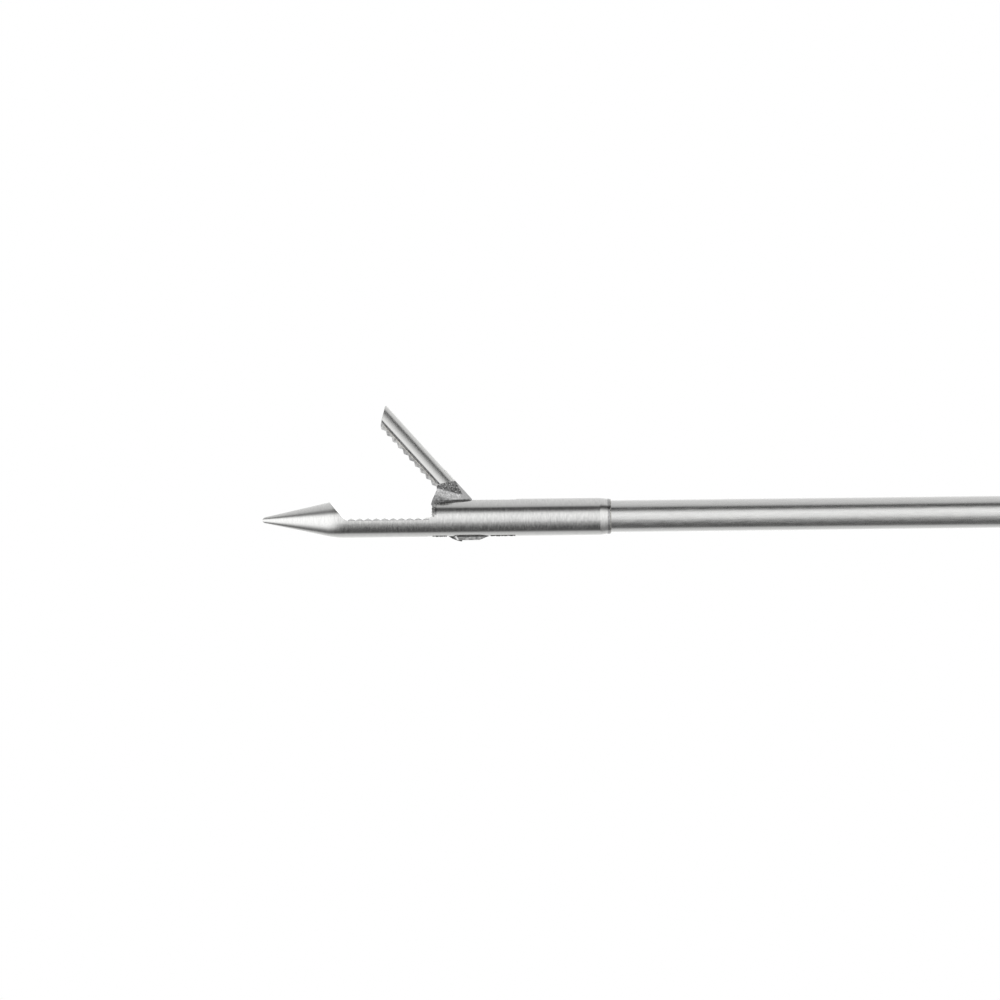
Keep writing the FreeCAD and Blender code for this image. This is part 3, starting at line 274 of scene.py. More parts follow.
def makeFleckGroup():
    group, given, end = newGroup(
        "brightFlecks",
        [("Scale", "NodeSocketFloat", 9000.0), ("Cover", "NodeSocketFloat", 0.2)],
        [("Mask", "NodeSocketFloat")])
    cells = addNode(group, "ShaderNodeTexVoronoi", {
        "Vector": objectPlace(group), "Scale": given["Scale"]})
    chance = addNode(group, "ShaderNodeSeparateColor", {0: cells["Color"]})
    chosen = mathNode(group, "LESS_THAN", chance[0], given["Cover"])
    core = rangeNode(group, cells["Distance"], fleckShape["edge"], fleckShape["core"])
    feed(group, end, {"Mask": mathNode(group, "MULTIPLY", chosen, core)})
    return group


# broken edges: the surface normal rounded over a small radius, and a mask of where it turns, which
# brightens worn edges and paints a highlight along them;
# none within the distance Flush of the jaw's pin, which is ground flush with the head
softEdges = {"samples": 4, "wearAndHighlight": (0.999, 0.93)}


def makeEdgeGroup():
    group, given, end = newGroup(
        "softEdges",
        [("Radius", "NodeSocketFloat", 0.00004), ("Height", "NodeSocketFloat", 0.0),
         ("Depth", "NodeSocketFloat", 0.000002), ("Flush", "NodeSocketFloat", 0.0)],
        [("Normal", "NodeSocketVector"), ("WearAndHighlight", "NodeSocketFloat")])
    flat = vectorNode(group, "MULTIPLY", objectPlace(group), (1, 0, 1))
    away = vectorNode(group, "DISTANCE", flat, jawPivot)
    outside = mathNode(group, "GREATER_THAN", away, given["Flush"])
    bevel = group.nodes.new("ShaderNodeBevel")
    bevel.samples = softEdges["samples"]
    feed(group, bevel, {"Radius": mathNode(group, "MULTIPLY", given["Radius"], outside)})
    rounded = bevel.outputs["Normal"]
    bump = addNode(group, "ShaderNodeBump", {
        "Strength": 1.0, "Distance": given["Depth"], "Height": given["Height"],
        "Normal": rounded})
    surface = group.nodes.new("ShaderNodeNewGeometry").outputs["Normal"]
    facing = vectorNode(group, "DOT_PRODUCT", rounded, surface)
    wearAndHighlight = rangeNode(group, facing, *softEdges["wearAndHighlight"])
    feed(group, end, {"Normal": bump["Normal"], "WearAndHighlight": wearAndHighlight})
    return group


marksGroup = makeMarksGroup()
grainGroup = makeGrainGroup()
sideGroup = makeSideGroup()
fleckGroup = makeFleckGroup()
edgeGroup = makeEdgeGroup()

# each finish: the colours of the troughs and the peaks of its marks, the roughness of both, how
# fine its marks are along X, Y and Z (stretch) or its grain is, both per metre, and in metres
# how deep they are and how far its edges are rounded; along is the way its marks turn the gloss
finishes = {
    "turnedSteel": {
        "dark": (0.58, 0.58, 0.575), "light": (0.71, 0.71, 0.70), "rough": (0.15, 0.26),
        "stretch": (10000, 2200, 2200), "depth": 0.0000012, "edge": 0.00005,
        "along": (1, 0, 0), "anisotropy": 0.8, "flush": 0.0006},
    "jawSteel": {
        "dark": (0.63, 0.63, 0.62), "light": (0.72, 0.72, 0.71), "rough": (0.21, 0.29),
        "stretch": (6000, 6000, 6000), "depth": 0.0000004, "edge": 0.00004,
        "along": tuple(jawPoint(-1, 0) - jawPivot), "anisotropy": 0.5},
    "drawnTube": {
        "dark": (0.59, 0.59, 0.585), "light": (0.70, 0.70, 0.69), "rough": (0.22, 0.32),
        "stretch": (900, 12000, 12000), "depth": 0.0000008, "edge": 0.00004,
        "along": (1, 0, 0), "anisotropy": 0.6},
    "tangSteel": {
        "dark": (0.17, 0.17, 0.17), "light": (0.44, 0.44, 0.435), "rough": (0.32, 0.5),
        "depth": 0.00003, "edge": 0.00003, "grain": 11000},
    "insertSteel": {
        "dark": (0.28, 0.28, 0.28), "light": (0.62, 0.62, 0.61), "rough": (0.30, 0.42),
        "depth": 0.00001, "edge": 0.00003, "grain": 7000},
    "blastedSteel": {
        "dark": (0.35, 0.35, 0.345), "light": (0.44, 0.44, 0.43), "rough": (0.30, 0.38),
        "depth": 0.000006, "edge": 0.0004, "grain": 6000},
    "turnedKnob": {
        "dark": (0.44, 0.44, 0.435), "light": (0.53, 0.53, 0.525), "rough": (0.20, 0.27),
        "stretch": (5000, 500, 500), "depth": 0.0000008, "edge": 0.0003},
    "turnedCap": {
        "dark": (0.25, 0.25, 0.245), "light": (0.33, 0.33, 0.325), "rough": (0.20, 0.27),
        "stretch": (500, 500, 5000), "depth": 0.0000008, "edge": 0.0003},
    "screwSteel": {
        "dark": (0.30, 0.295, 0.28), "light": (0.39, 0.38, 0.365), "rough": (0.22, 0.30),
        "stretch": (1200, 7000, 1200), "depth": 0.0000008, "edge": 0.00012},
    "springSteel": {
        "dark": (0.16, 0.17, 0.20), "light": (0.30, 0.31, 0.34), "rough": (0.3, 0.4),
        "stretch": (4000, 900, 900), "depth": 0.000002, "edge": 0.0001},
    "brazeMetal": {
        "dark": (0.34, 0.33, 0.31), "light": (0.60, 0.59, 0.56), "rough": (0.24, 0.4),
        "depth": 0.000004, "edge": 0.00002, "grain": 8000},
    # painted shade: near black, for the slot's burrs, where the slot's edge lies in shade
    "paintedShadeBurr": {
        "dark": (0.05, 0.05, 0.05), "light": (0.16, 0.16, 0.155), "rough": (0.35, 0.5),
        "depth": 0.000006, "edge": 0.00002, "grain": 9000},
    "roughSteel": {
        "dark": (0.28, 0.28, 0.275), "light": (0.58, 0.58, 0.57), "rough": (0.32, 0.46),
        "depth": 0.000008, "edge": 0.00002, "grain": 9000},
    "bearingBronze": {
        "dark": (0.44, 0.30, 0.14), "light": (0.64, 0.46, 0.24), "rough": (0.3, 0.42),
        "stretch": (5000, 400, 400), "depth": 0.000003, "edge": 0.0001},
}
finishes["headSteel"] = finishes["turnedSteel"]
edgeWearAndHighlight = {"share": 0.6, "bright": 1.15}    # how far a worn edge brightens, and to what; this is also a painted highlight along the edges
patchGrain = {"grain": 9000, "fleckScale": 14000, "fleckColour": (0.82, 0.82, 0.81)}


# a part of the steel that is rough, darker with painted shade, or brighter with a painted
# highlight: its outline in millimetres along X and Z, which goes round anticlockwise as seen from
# the near side, and grey levels for its colours
def roughAndPaintedLightPatch(outline, dark, light, flecks=0.0, softness=0.03, wander=0.0):
    return {"outline": outline, "dark": (dark,) * 3, "light": (light,) * 3, "flecks": flecks,
            "softness": softness, "wander": wander}


def patchMask(tree, patch):
    mask = 1.0
    points = patch["outline"]
    for a, b in zip(points, points[1:] + points[:1]):
        run = Vector((b[0] - a[0], 0, b[1] - a[1])).normalized()
        side = addGroup(tree, sideGroup, {
            "Point": (a[0] * mm, 0, a[1] * mm), "Across": (-run.z, 0, run.x),
            "Softness": patch["softness"] * mm, "Wander": patch["wander"] * mm})
        mask = mathNode(tree, "MULTIPLY", side["Mask"], mask)
    return mask


def patchColour(tree, patch):
    grain = addGroup(tree, grainGroup, {"Grain": patchGrain["grain"]})
    colour = mixColour(tree, grain["Mask"], patch["dark"], patch["light"])
    if patch["flecks"]:
        bright = addGroup(tree, fleckGroup, {
            "Scale": patchGrain["fleckScale"], "Cover": patch["flecks"]})
        colour = mixColour(tree, bright["Mask"], colour, patchGrain["fleckColour"])
    return colour


def makeMetal(name, look, patches=()):
    material, tree, out = newMaterial(name)
    shader = tree.nodes.new("ShaderNodeBsdfPrincipled")
    if "grain" in look:
        skin = addGroup(tree, grainGroup, {"Grain": look["grain"]})
    else:
        skin = addGroup(tree, marksGroup, {"Stretch": look["stretch"]})
    edges = addGroup(tree, edgeGroup, {
        "Height": skin["Height"], "Radius": look["edge"], "Depth": look["depth"],
        "Flush": look.get("flush", 0.0)})
    tint = mixColour(tree, skin["Mask"], look["dark"], look["light"])
    bright = tuple(min(1, level * edgeWearAndHighlight["bright"]) for level in look["light"])
    wearAndHighlight = mathNode(tree, "MULTIPLY", edges["WearAndHighlight"], edgeWearAndHighlight["share"])
    tint = mixColour(tree, wearAndHighlight, tint, bright)
    for patch in patches:
        tint = mixColour(tree, patchMask(tree, patch), tint, patchColour(tree, patch))
    rough = addNode(tree, "ShaderNodeMapRange", {
        "Value": skin["Mask"], "To Min": look["rough"][0], "To Max": look["rough"][1]})
    feed(tree, shader, {"Metallic": 1.0, "Base Color": tint, "Roughness": rough["Result"],
                        "Normal": edges["Normal"]})
    if "along" in look:
        direction = tree.nodes.new("ShaderNodeVectorTransform")
        direction.vector_type = "VECTOR"
        direction.convert_from = "OBJECT"
        direction.convert_to = "WORLD"
        feed(tree, direction, {0: look["along"]})
        feed(tree, shader, {"Tangent": direction.outputs[0], "Anisotropic": look["anisotropy"]})
    feed(tree, out, {"Surface": shader.outputs[0]})
    return material


rubberLook = {"dark": (0.012, 0.012, 0.013), "light": (0.03, 0.03, 0.032), "grain": 4000,
              "depth": 0.00001, "edge": 0.0001, "rough": (0.5, 0.7), "specular": 0.4}


def makeRubber(name, look):
    material = makeMetal(name, look)
    tree = material.node_tree
    shader = next(node for node in tree.nodes if node.type == "BSDF_PRINCIPLED")
    feed(tree, shader, {"Metallic": 0.0, "Specular IOR Level": look["specular"]})
    return material


# an outline given on the closed jaw, in millimetres from its pin, as it lies on the open jaw
def jawOutline(*points):
    return [(1000 * p.x, 1000 * p.z) for p in (jawPoint(*point) for point in points)]


neckRim = {"bottom": (-3.02, -0.02), "top": (-2.38, 1.07)}
roughAndPaintedLightPatches = {
    "jawSteel": [
        # the neck was left rough where the round jaw ends: its side and its back, and its hollow,
        # darker with painted shade
        roughAndPaintedLightPatch(jawOutline(neckRim["bottom"], (-3.1, -6), (6, -6), (6, 3), (-1.1, 3.25),
                              neckRim["top"]), 0.32, 0.56, flecks=0.34, wander=0.1),
        roughAndPaintedLightPatch(jawOutline((-2.4, 0.98), (0.4, 0.1), (4, 2), (-2.4, 3)), 0.34, 0.40),
        roughAndPaintedLightPatch(jawOutline((-3.5, -0.9), (-2.6, -1.8), (0, 0), (0, 1), (-2.2, -0.5)),
                   0.16, 0.36, softness=0.1, wander=0.3),
        # painted shade: the facet at the round jaw's rear faces down, and is painted dark here
        roughAndPaintedLightPatch(jawOutline((-3.03, -0.02), (-3.0, -0.42), (-1.42, 0.55), (-1.25, 0.78),
                              neckRim["top"]), 0.07, 0.24, flecks=0.16, wander=0.16),
        # painted shade in the gap over the head's cheeks, and on the heel in the slot's shade
        roughAndPaintedLightPatch([(-13.7, 1.17), (-10.7, 1.46), (-10.7, 1.5), (-13.7, 1.42)], 0.08, 0.20,
                   softness=0.02, wander=0.06),
        roughAndPaintedLightPatch([(-15, -3), (-9, -3), (-9, -1.36), (-15, -1.36)], 0.04, 0.12),
        # painted shade where the jaw's lower edge turns away into the seam
        roughAndPaintedLightPatch(jawOutline((-9.8, -0.1), (-2.9, -0.1), (-2.9, 0.07), (-9.8, 0.07)),
                   0.40, 0.50, softness=0.035, wander=0.02),
    ],
    "headSteel": [
        # painted shade at the notch's rear, which is rough there too, and at the teeth's roots; a
        # darker ring is painted just before the tube
        roughAndPaintedLightPatch([(-15, 0.24), (-13.5, 0.24), (-13.5, 2), (-15, 2)], 0.30, 0.50,
                   softness=0.05, wander=0.2),
        roughAndPaintedLightPatch([(-20.4, -0.11), (-14.1, -0.11), (-14.1, -0.03), (-20.4, -0.03)], 0.34, 0.50,
                   softness=0.03, wander=0.03),
        roughAndPaintedLightPatch([(-0.2, -2), (1, -2), (1, 2), (-0.2, 2)], 0.30, 0.46, softness=0.05,
                   wander=0.05),
    ],
    "tangSteel": [
        # the tang in the slot's shade, and a painted highlight on the bevel at its front
        roughAndPaintedLightPatch([(-12.4, -1.47), (-9.2, -1.47), (-9.2, -1.2), (-12.4, -1.2)], 0.05, 0.12,
                   wander=0.04),
        roughAndPaintedLightPatch([(-12.24, -1.25), (-11.88, -1.76), (-11.78, -1.74), (-12.12, -1.22)],
                   0.60, 0.80, softness=0.02),
    ],
    "insertSteel": [
        # painted shade on the strip's upper edge, along the seam
        roughAndPaintedLightPatch(jawOutline((-9.8, -0.09), (-2.9, -0.09), (-2.9, 0.1), (-9.8, 0.1)),
                   0.10, 0.26, softness=0.02, wander=0.02),
    ],
}
metals = {"sealRubber": makeRubber("sealRubber", rubberLook)}
for name, look in finishes.items():
    metals[name] = makeMetal(name, look, roughAndPaintedLightPatches.get(name, ()))
print("stage: materials")

nodeFinish = {
    "jaw_head": "headSteel", "jaw_pin": "turnedSteel", "moving_jaw": "jawSteel",
    "jaw_insert": "insertSteel", "drive_tang": "tangSteel", "drive_pin": "screwSteel",
    "outer_tube": "drawnTube", "drive_rod": "drawnTube", "tube_ferrule": "turnedKnob",
    "rotation_knob": "turnedKnob", "knob_set_screw": "screwSteel",
    "retaining_ring": "springSteel", "thrust_washer": "bearingBronze",
    "handle_frame": "blastedSteel", "thumb_lever": "blastedSteel",
    "pivot_bush": "bearingBronze", "pivot_screw": "screwSteel", "pivot_nut": "screwSteel",
    "stop_screw": "screwSteel", "gland_nut": "turnedKnob", "seal_ring": "sealRubber",
    "flush_port": "turnedCap", "flush_cap": "turnedCap", "cap_gasket": "sealRubber",
    "rod_ball": "screwSteel", "rod_lock_nut": "screwSteel",
}


def dressNodes():
    for name, finish in nodeFinish.items():
        piece = frame["nodes"][name]
        piece.data.materials.clear()
        piece.data.materials.append(metals[finish])


dressNodes()
print("stage: nodes dressed")

# modelling helpers: a piece starts one unit long and is shaped before its points get their place
mergeWithin = 0.0000001                # metres between points that become one
endSlack = 0.001                       # of a unit, to tell what lies at a unit piece's end
ringRatio = 10                         # a unit ring's radius over that of its section
alongX = Matrix.Rotation(math.radians(90), 4, "Y")
farSide = Matrix.Diagonal((1, -1, 1, 1))


def startPiece(name, primitive, **size):
    bpy.ops.object.select_all(action="DESELECT")
    primitive(**size)
    piece = bpy.context.object
    piece.name = name
    return piece


def startRing(name, look):
    return startPiece(name, bpy.ops.mesh.primitive_torus_add, major_radius=1,
                      minor_radius=1 / ringRatio, major_segments=look["around"],
                      minor_segments=look["across"])


def selectEdges(piece, wanted):
    bpy.ops.object.mode_set(mode="EDIT")
    bpy.ops.mesh.select_mode(type="EDGE")
    bpy.ops.mesh.select_all(action="DESELECT")
    work = bmesh.from_edit_mesh(piece.data)
    for edge in work.edges:
        a, b = (vertex.co for vertex in edge.verts)
        edge.select_set(wanted(a, b))
    bmesh.update_edit_mesh(piece.data)


# more sections along a unit piece: the edges that run its whole length are divided
def cutAcross(piece, cuts):
    selectEdges(piece, lambda a, b: abs(a.x - b.x) > 0.5)
    bpy.ops.mesh.subdivide(number_cuts=cuts)
    bpy.ops.object.mode_set(mode="OBJECT")


# how far along a unit piece a point lies, the same for all points of one section
def shareAlong(vertex):
    return round(vertex.co.x + 0.5, 4)


def finishPiece(piece, body, metal, smooth):
    bpy.ops.object.select_all(action="DESELECT")
    bpy.context.view_layer.objects.active = piece
    piece.select_set(True)
    bpy.ops.object.mode_set(mode="EDIT")
    bpy.ops.mesh.select_all(action="SELECT")
    bpy.ops.mesh.remove_doubles(threshold=mergeWithin)
    bpy.ops.mesh.normals_make_consistent(inside=False)
    bpy.ops.object.mode_set(mode="OBJECT")
    bpy.ops.object.shade_smooth_by_angle(angle=math.radians(smooth))
    piece.data.materials.clear()
    piece.data.materials.append(metals[metal])
    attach(piece, body)


# a near piece and its mirrored copy on the far side
def finishBoth(piece, body, metal, smooth):
    twin = piece.copy()
    twin.data = piece.data.copy()
    twin.name = piece.name.replace("Near", "Far")
    bpy.context.scene.collection.objects.link(twin)
    twin.data.transform(farSide)
    finishPiece(piece, body, metal, smooth)
    finishPiece(twin, body, metal, smooth)


# braze that stands out of the seam between the moving jaw and its serrated strip
seamBead = {
    "from": -9.42, "to": -3.08,        # along the jaw from its pin
    "height": -0.145,                  # its middle line, above the pin
    "face": 1.15,                      # the strip's side face
    "tall": 0.055, "proud": 0.06,      # half height, and how far it stands out
    "swell": (0.7, 1.25),              # how its thickness varies
    "drift": 0.012,                    # how far its line strays
    "taper": 14, "blunt": 0.15,        # how soon it is full, and its share of that at its ends
    "sides": 10, "sections": 60, "smooth": 80, "seed": 4,
}


def makeSeamBeads():
    look = seamBead
    chance = random.Random(look["seed"])
    bead = startPiece("seamBeadNear", bpy.ops.mesh.primitive_cylinder_add,
                      vertices=look["sides"], radius=1, depth=1)
    bead.data.transform(alongX)
    cutAcross(bead, look["sections"])
    wobble = {}
    for vertex in bead.data.vertices:
        share = shareAlong(vertex)
        if share not in wobble:
            size = chance.uniform(*look["swell"])
            wobble[share] = (size, chance.uniform(-look["drift"], look["drift"]))
        size, drift = wobble[share]
        taper = min(1, look["taper"] * min(share, 1 - share) + look["blunt"])
        along = look["from"] + (look["to"] - look["from"]) * share
        height = look["height"] + drift + vertex.co.z * look["tall"] * size * taper
        side = -look["face"] + vertex.co.y * look["proud"] * size * taper
        vertex.co = jawPoint(along, height, side)
    finishBoth(bead, "jaw", "brazeMetal", look["smooth"])


makeSeamBeads()

# burr that the cutter left along the slot's lower edges, before the heel and behind the tang, near
# black with painted shade where the slot's edge lies in shade
slotBurr = {
    "spans": {"Front": (-13.85, -12.75), "Rear": (-9.35, -7.4)},
    "inner": 0.53, "thick": 0.035,
    "top": -1.35, "bottom": -1.43, "ragged": 0.035,
    "lean": 0.6,                       # how far its lower edge leans out, of its thickness
    "sectionLength": 0.05, "smooth": 35, "seed": 9,
}


def makeSlotBurrs():
    look = slotBurr
    chance = random.Random(look["seed"])
    for place, (start, end) in look["spans"].items():
        burr = startPiece("slotBurrNear" + place, bpy.ops.mesh.primitive_cube_add, size=1)
        cutAcross(burr, int((end - start) / look["sectionLength"]))
        hang = {}
        for vertex in burr.data.vertices:
            share = shareAlong(vertex)
            if share not in hang:
                hang[share] = chance.uniform(-1, 1) * look["ragged"]
            x = start + (end - start) * share
            y = -look["inner"] - look["thick"] * (0.5 - vertex.co.y)
            z = look["top"] if vertex.co.z > 0 else look["bottom"] + hang[share]
            if vertex.co.z < 0:
                y -= look["thick"] * look["lean"]
            vertex.co = (x * mm, y * mm, z * mm)
        finishBoth(burr, "shaft", "paintedShadeBurr", look["smooth"])


makeSlotBurrs()

# rough edge that the cutter left up the notch's rear wall
notchBurr = {
    "rise": (0.12, 0.95), "front": -13.8, "rear": -13.68,
    "proud": 0.13, "least": 0.4,       # how far it stands out, and the least share of that
    "fade": 0.5,                       # lower than 1 keeps it full nearer to its ends
    "headRadius": 1.5, "deep": 0.25, "over": 0.015,
    "sections": 22, "smooth": 35, "seed": 21,
}


def makeNotchBurrs():
    look = notchBurr
    chance = random.Random(look["seed"])
    burr = startPiece("notchBurrNear", bpy.ops.mesh.primitive_cube_add, size=1)
    cutAcross(burr, look["sections"])
    low, high = look["rise"]
    edge = {}
    for vertex in burr.data.vertices:
        share = shareAlong(vertex)
        if share not in edge:
            ragged = chance.uniform(look["least"], 1) * look["proud"]
            edge[share] = ragged * math.sin(math.pi * share) ** look["fade"]
        z = low + (high - low) * share
        skin = math.sqrt(look["headRadius"] ** 2 - z * z)
        y = -(skin - look["deep"] if vertex.co.y > 0 else skin + look["over"])
        x = look["rear"] if vertex.co.z > 0 else look["front"] - edge[share]
        vertex.co = (x * mm, y * mm, z * mm)
    finishBoth(burr, "shaft", "roughSteel", look["smooth"])


makeNotchBurrs()

# braze fillet in the corner between the head's rear face and the tube
shoulderRing = {
    "middle": (0.01, 1.285),           # along the shaft, and from its axis
    "section": (0.06, 0.06),
    "swell": 0.1, "waves": (3, 7, 16, 31),    # how it varies, and how often round the tube
    "around": 120, "across": 10, "smooth": 80, "seed": 17,
}


def makeShoulderRing():
    look = shoulderRing
    chance = random.Random(look["seed"])
    middleX, middleR = look["middle"]
    ring = startRing("shoulderBraze", look)
    ring.data.transform(alongX)
    waves = [(count, chance.uniform(0, math.tau)) for count in look["waves"]]
    for vertex in ring.data.vertices:
        turn = math.atan2(vertex.co.z, vertex.co.y)
        out = (math.hypot(vertex.co.y, vertex.co.z) - 1) * ringRatio
        swell = 1 + look["swell"] * sum(math.sin(count * turn + phase) for count, phase in waves)
        x = middleX + vertex.co.x * ringRatio * look["section"][0] * swell
        radius = middleR + out * look["section"][1] * swell
        vertex.co = Vector((x, radius * math.cos(turn), radius * math.sin(turn))) * mm
    finishPiece(ring, "shaft", "brazeMetal", look["smooth"])


makeShoulderRing()
print("stage: braze and burrs")


def setRadius(vertex, rule):
    turn = math.atan2(vertex.co.z, vertex.co.y)
    radius = rule(vertex.co.x + 0.5, turn)
    vertex.co.y = radius * math.cos(turn)
    vertex.co.z = radius * math.sin(turn)


# a shell turned round X, one unit long, with a plain bore: a rule gives its outer radius, in
# millimetres, for the share of its length and the angle round it
def turnedShell(name, look, outerAt):
    shell = startPiece(name, bpy.ops.mesh.primitive_cylinder_add, vertices=look["sides"],
                       radius=1, depth=1, end_fill_type="NOTHING")
    shell.data.transform(alongX)
    cutAcross(shell, look["sections"])
    for vertex in shell.data.vertices:
        setRadius(vertex, outerAt)
    for end in (-0.5, 0.5):
        selectEdges(shell, lambda a, b: max(abs(a.x - end), abs(b.x - end)) < endSlack)
        bpy.ops.mesh.extrude_edges_move()
        work = bmesh.from_edit_mesh(shell.data)
        for vertex in work.verts:
            if vertex.select:
                setRadius(vertex, lambda share, turn: look["bore"])
        bmesh.update_edit_mesh(shell.data)
        bpy.ops.object.mode_set(mode="OBJECT")

    def onBore(a, b):
        atOneEnd = a.x * b.x > 0 and min(abs(a.x), abs(b.x)) > 0.5 - endSlack
        widest = max(math.hypot(a.y, a.z), math.hypot(b.y, b.z))
        return atOneEnd and widest < look["bore"] + endSlack

    selectEdges(shell, onBore)
    bpy.ops.mesh.bridge_edge_loops()
    bpy.ops.object.mode_set(mode="OBJECT")
    return shell


# lock nut behind the ball: its corners are turned down, so that it spins clear in the lever's slit
lockNut = {
    "across": 3.2, "corner": 1.69,     # over its flats, and the radius of its corners
    "face": 1.5, "bevel": 0.14,        # its end face's radius, and the length of its bevel
    "bore": 0.705, "sides": 96, "sections": 22, "smooth": 30,
}


def makeLockNut():
    look = lockNut
    low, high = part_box("rod_lock_nut")
    length = (high.x - low.x) / mm

    def outerAt(share, turn):
        sixth = (turn + math.tau) % (math.tau / 6) - math.tau / 12
        flats = look["across"] / 2 / math.cos(sixth)
        depth = min(share, 1 - share) * length
        cone = look["face"] + (look["corner"] - look["face"]) * min(1, depth / look["bevel"])
        return min(flats, cone)

    nut = turnedShell("lockNut", look, outerAt)
    for vertex in nut.data.vertices:
        x, y, z = vertex.co
        vertex.co = (low.x + (x + 0.5) * (high.x - low.x), y * mm, z * mm)
    finishPiece(nut, "rod", "screwSteel", look["smooth"])
    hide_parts("rod_lock_nut")


makeLockNut()

# thread on the pivot screw's end, where it stands out of its nut
screwThread = {
    "core": 1.505, "depth": 0.09, "pitch": 0.25,
    "short": 0.06,                     # how far it stops before the screw's end
    "fade": 8,                         # how soon it is full, from each of its ends
    "bore": 1.4, "sides": 64, "sections": 30, "smooth": 20,
}


def makeScrewThread():
    look = screwThread
    nutLow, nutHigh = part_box("pivot_nut")
    low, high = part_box("pivot_screw")
    start, end = nutHigh.y, high.y - look["short"] * mm
    middleX = (nutLow.x + nutHigh.x) / 2
    middleZ = (nutLow.z + nutHigh.z) / 2
    turns = (end - start) / mm / look["pitch"]

    def outerAt(share, turn):
        phase = (share * turns - turn / math.tau) % 1
        ridge = 1 - abs(2 * phase - 1)
        fade = min(1, look["fade"] * min(share, 1 - share))
        return look["core"] + look["depth"] * ridge * fade

    thread = turnedShell("pivotThread", look, outerAt)
    for vertex in thread.data.vertices:
        along, y, z = vertex.co
        vertex.co = (middleX + y * mm, start + (along + 0.5) * (end - start), middleZ + z * mm)
    finishPiece(thread, "handle", "screwSteel", look["smooth"])


makeScrewThread()

# gasket in the cap: a soft ring with round edges that is pressed onto the port's rim
gasket = {
    "inner": 2.12, "outer": 3.86, "lift": 0.02,
    "square": 0.35,                    # 1 gives a round section, and less a squarer one
    "around": 72, "across": 16, "smooth": 60,
}


def makeGasket():
    look = gasket
    low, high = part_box("cap_gasket")
    middle = (low + high) / 2
    half = (high.z - low.z) / 2 - look["lift"] * mm
    centre = (look["inner"] + look["outer"]) / 2 * mm
    reach = (look["outer"] - look["inner"]) / 2 * mm
    ring = startRing("capSeal", look)
    for vertex in ring.data.vertices:
        turn = math.atan2(vertex.co.y, vertex.co.x)
        out = (math.hypot(vertex.co.x, vertex.co.y) - 1) * ringRatio
        up = vertex.co.z * ringRatio
        out, up = (math.copysign(abs(v) ** look["square"], v) for v in (out, up))
        radius = centre + out * reach
        vertex.co = (middle.x + radius * math.cos(turn), middle.y + radius * math.sin(turn),
                     middle.z + up * half)
    finishPiece(ring, "cap", "sealRubber", look["smooth"])
    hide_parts("cap_gasket")


makeGasket()
print("stage: nut and gasket")

# studio: a pale floor, and soft boxes with dark gaps between them all round the shaft's line
studio = {
    "floorRadius": 6.0, "floorSides": 96,
    "floorDrop": 0.0002,               # how far it lies under the handle's lowest point
    "floorColour": 0.9,
    "fade": (0.32, 0.62),              # from the middle, where the floor begins and ends to fade
    "roomLevel": 0.92,
    "sideTilt": 0.886,                 # the boxes stand lower towards both ends of the shaft
    "tipTurn": (-0.12, -0.38),         # where the middle boxes give way to those at the tip
    "rearTurn": (0.12, 0.40),          # and to those at the rear
}

# light level by angle about the shaft, from straight below through the camera's side
boxLevels = {
    "middle": [
        (-180, 1.5), (-160, 1.45), (-140, 1.22), (-125, 0.93), (-100, 0.77), (-94, 0.6),
        (-89, 0.33), (-84, 0.14), (-77, 0.1), (-57, 0.09), (-47, 0.16), (-38, 0.29),
        (-31, 0.42), (-26, 0.56), (-21.5, 0.78), (-16, 0.93), (-3, 1.1), (8, 1.2), (20, 1.12),
        (26, 0.95), (31, 0.66), (36, 0.36), (41, 0.15), (45, 0.07), (57, 0.07), (62, 0.18),
        (66, 0.56), (72, 0.67), (101, 0.85), (137, 0.96), (155, 1.15), (180, 1.5)],
    "tip": [
        (-180, 1.1), (-150, 1.0), (-137, 0.95), (-108, 0.8), (-98, 0.4), (-88, 0.22),
        (-74, 0.22), (-62, 0.4), (-50, 0.8), (-37, 1.35), (-24, 1.6), (8, 1.6), (20, 1.3),
        (30, 0.56), (38, 0.28), (46, 0.33), (53, 0.60), (70, 0.75), (90, 0.83), (120, 0.9),
        (180, 1.1)],
    "rear": [
        (-180, 1.1), (-140, 1.0), (-100, 0.5), (-60, 0.5), (-20, 1.1), (0, 1.4), (20, 1.4),
        (25, 1.2), (29, 1.0), (33, 0.78), (37, 0.48), (41, 0.24), (45, 0.08), (49, 0.03),
        (55, 0.04), (59, 0.2), (63, 0.55), (67, 0.73), (76, 0.84), (90, 0.85), (104, 0.87),
        (122, 0.88), (141, 1.04), (160, 1.15), (180, 1.2)],
}


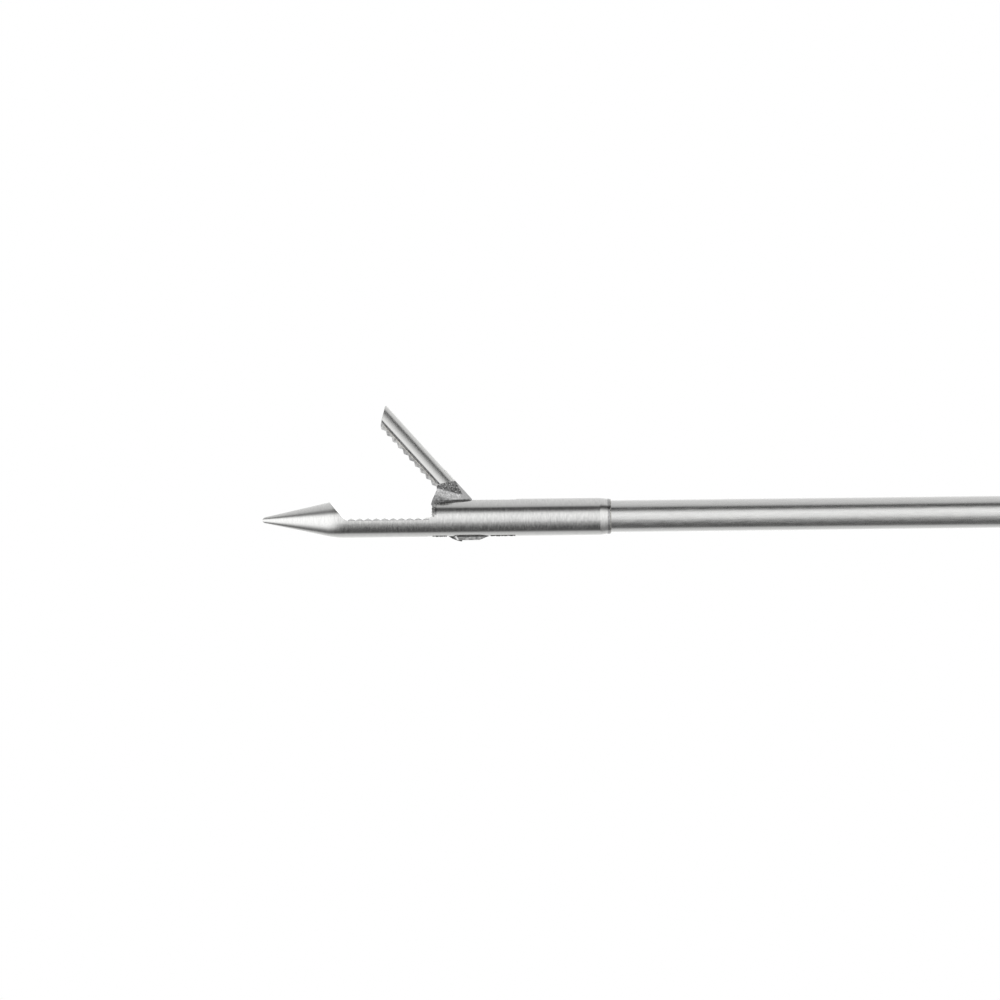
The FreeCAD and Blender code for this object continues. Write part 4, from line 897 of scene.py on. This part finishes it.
def makeFloor():
    floor = startPiece("studioFloor", bpy.ops.mesh.primitive_circle_add, fill_type="NGON",
                       vertices=studio["floorSides"], radius=studio["floorRadius"])
    centre = (cadLow + cadHigh) / 2
    floor.data.transform(Matrix.Translation((centre.x, 0, cadLow.z - studio["floorDrop"])))
    material, tree, out = newMaterial("paleFloor")
    away = vectorNode(tree, "DISTANCE", objectPlace(tree), (centre.x, 0, cadLow.z))
    fade = rangeNode(tree, away, *studio["fade"], smooth=True)
    path = tree.nodes.new("ShaderNodeLightPath").outputs
    seen = mathNode(tree, "MAXIMUM", path["Is Camera Ray"], path["Is Glossy Ray"])
    seen = mathNode(tree, "MAXIMUM", seen, path["Is Transmission Ray"])
    matt = addNode(tree, "ShaderNodeBsdfDiffuse", {"Color": (studio["floorColour"],) * 3})
    white = addNode(tree, "ShaderNodeEmission", {"Color": (1, 1, 1), "Strength": 1.0})
    mix = addNode(tree, "ShaderNodeMixShader", {
        "Fac": mathNode(tree, "MULTIPLY", fade, seen), 1: matt[0], 2: white[0]})
    feed(tree, out, {"Surface": mix[0]})
    floor.data.materials.append(material)
    floor.visible_glossy = False


# the world: white where it is seen, the boxes where metal mirrors it, and else an even room
def makeWorld():
    world = bpy.data.worlds.new("studioWorld")
    bpy.context.scene.world = world
    world.use_nodes = True
    tree = world.node_tree
    tree.nodes.clear()
    out = tree.nodes.new("ShaderNodeOutputWorld")
    place = tree.nodes.new("ShaderNodeTexCoord")
    way = addNode(tree, "ShaderNodeSeparateXYZ", {0: place.outputs["Generated"]})
    side = mathNode(tree, "MULTIPLY", mathNode(tree, "ABSOLUTE", way["X"]), studio["sideTilt"])
    front = mathNode(tree, "SUBTRACT", side, way["Y"])
    angle = mathNode(tree, "ARCTAN2", way["Z"], front)
    part = rangeNode(tree, angle, -math.pi, math.pi)
    peak = max(level for levels in boxLevels.values() for _, level in levels)
    ramps = {}
    for name, levels in boxLevels.items():
        stops = [((degrees + 180) / 360, level / peak) for degrees, level in levels]
        ramps[name] = rampNode(tree, part, stops)
    boxes = ramps["middle"]
    for name in ("tip", "rear"):
        turn = rangeNode(tree, way["X"], *studio[name + "Turn"], smooth=True)
        boxes = mixColour(tree, turn, boxes, ramps[name])
    room = addNode(tree, "ShaderNodeBackground", {
        "Color": (1, 1, 1), "Strength": studio["roomLevel"]})
    strips = addNode(tree, "ShaderNodeBackground", {"Color": boxes, "Strength": peak})
    white = addNode(tree, "ShaderNodeBackground", {"Color": (1, 1, 1), "Strength": 1.0})
    path = tree.nodes.new("ShaderNodeLightPath").outputs
    gloss = addNode(tree, "ShaderNodeMixShader", {
        "Fac": path["Is Glossy Ray"], 1: room[0], 2: strips[0]})
    straight = mathNode(tree, "MAXIMUM", path["Is Camera Ray"], path["Is Transmission Ray"])
    seen = addNode(tree, "ShaderNodeMixShader", {"Fac": straight, 1: gloss[0], 2: white[0]})
    feed(tree, out, {"Surface": seen[0]})


makeFloor()
makeWorld()
bpy.context.scene.view_settings.view_transform = "Standard"
print("stage: studio")
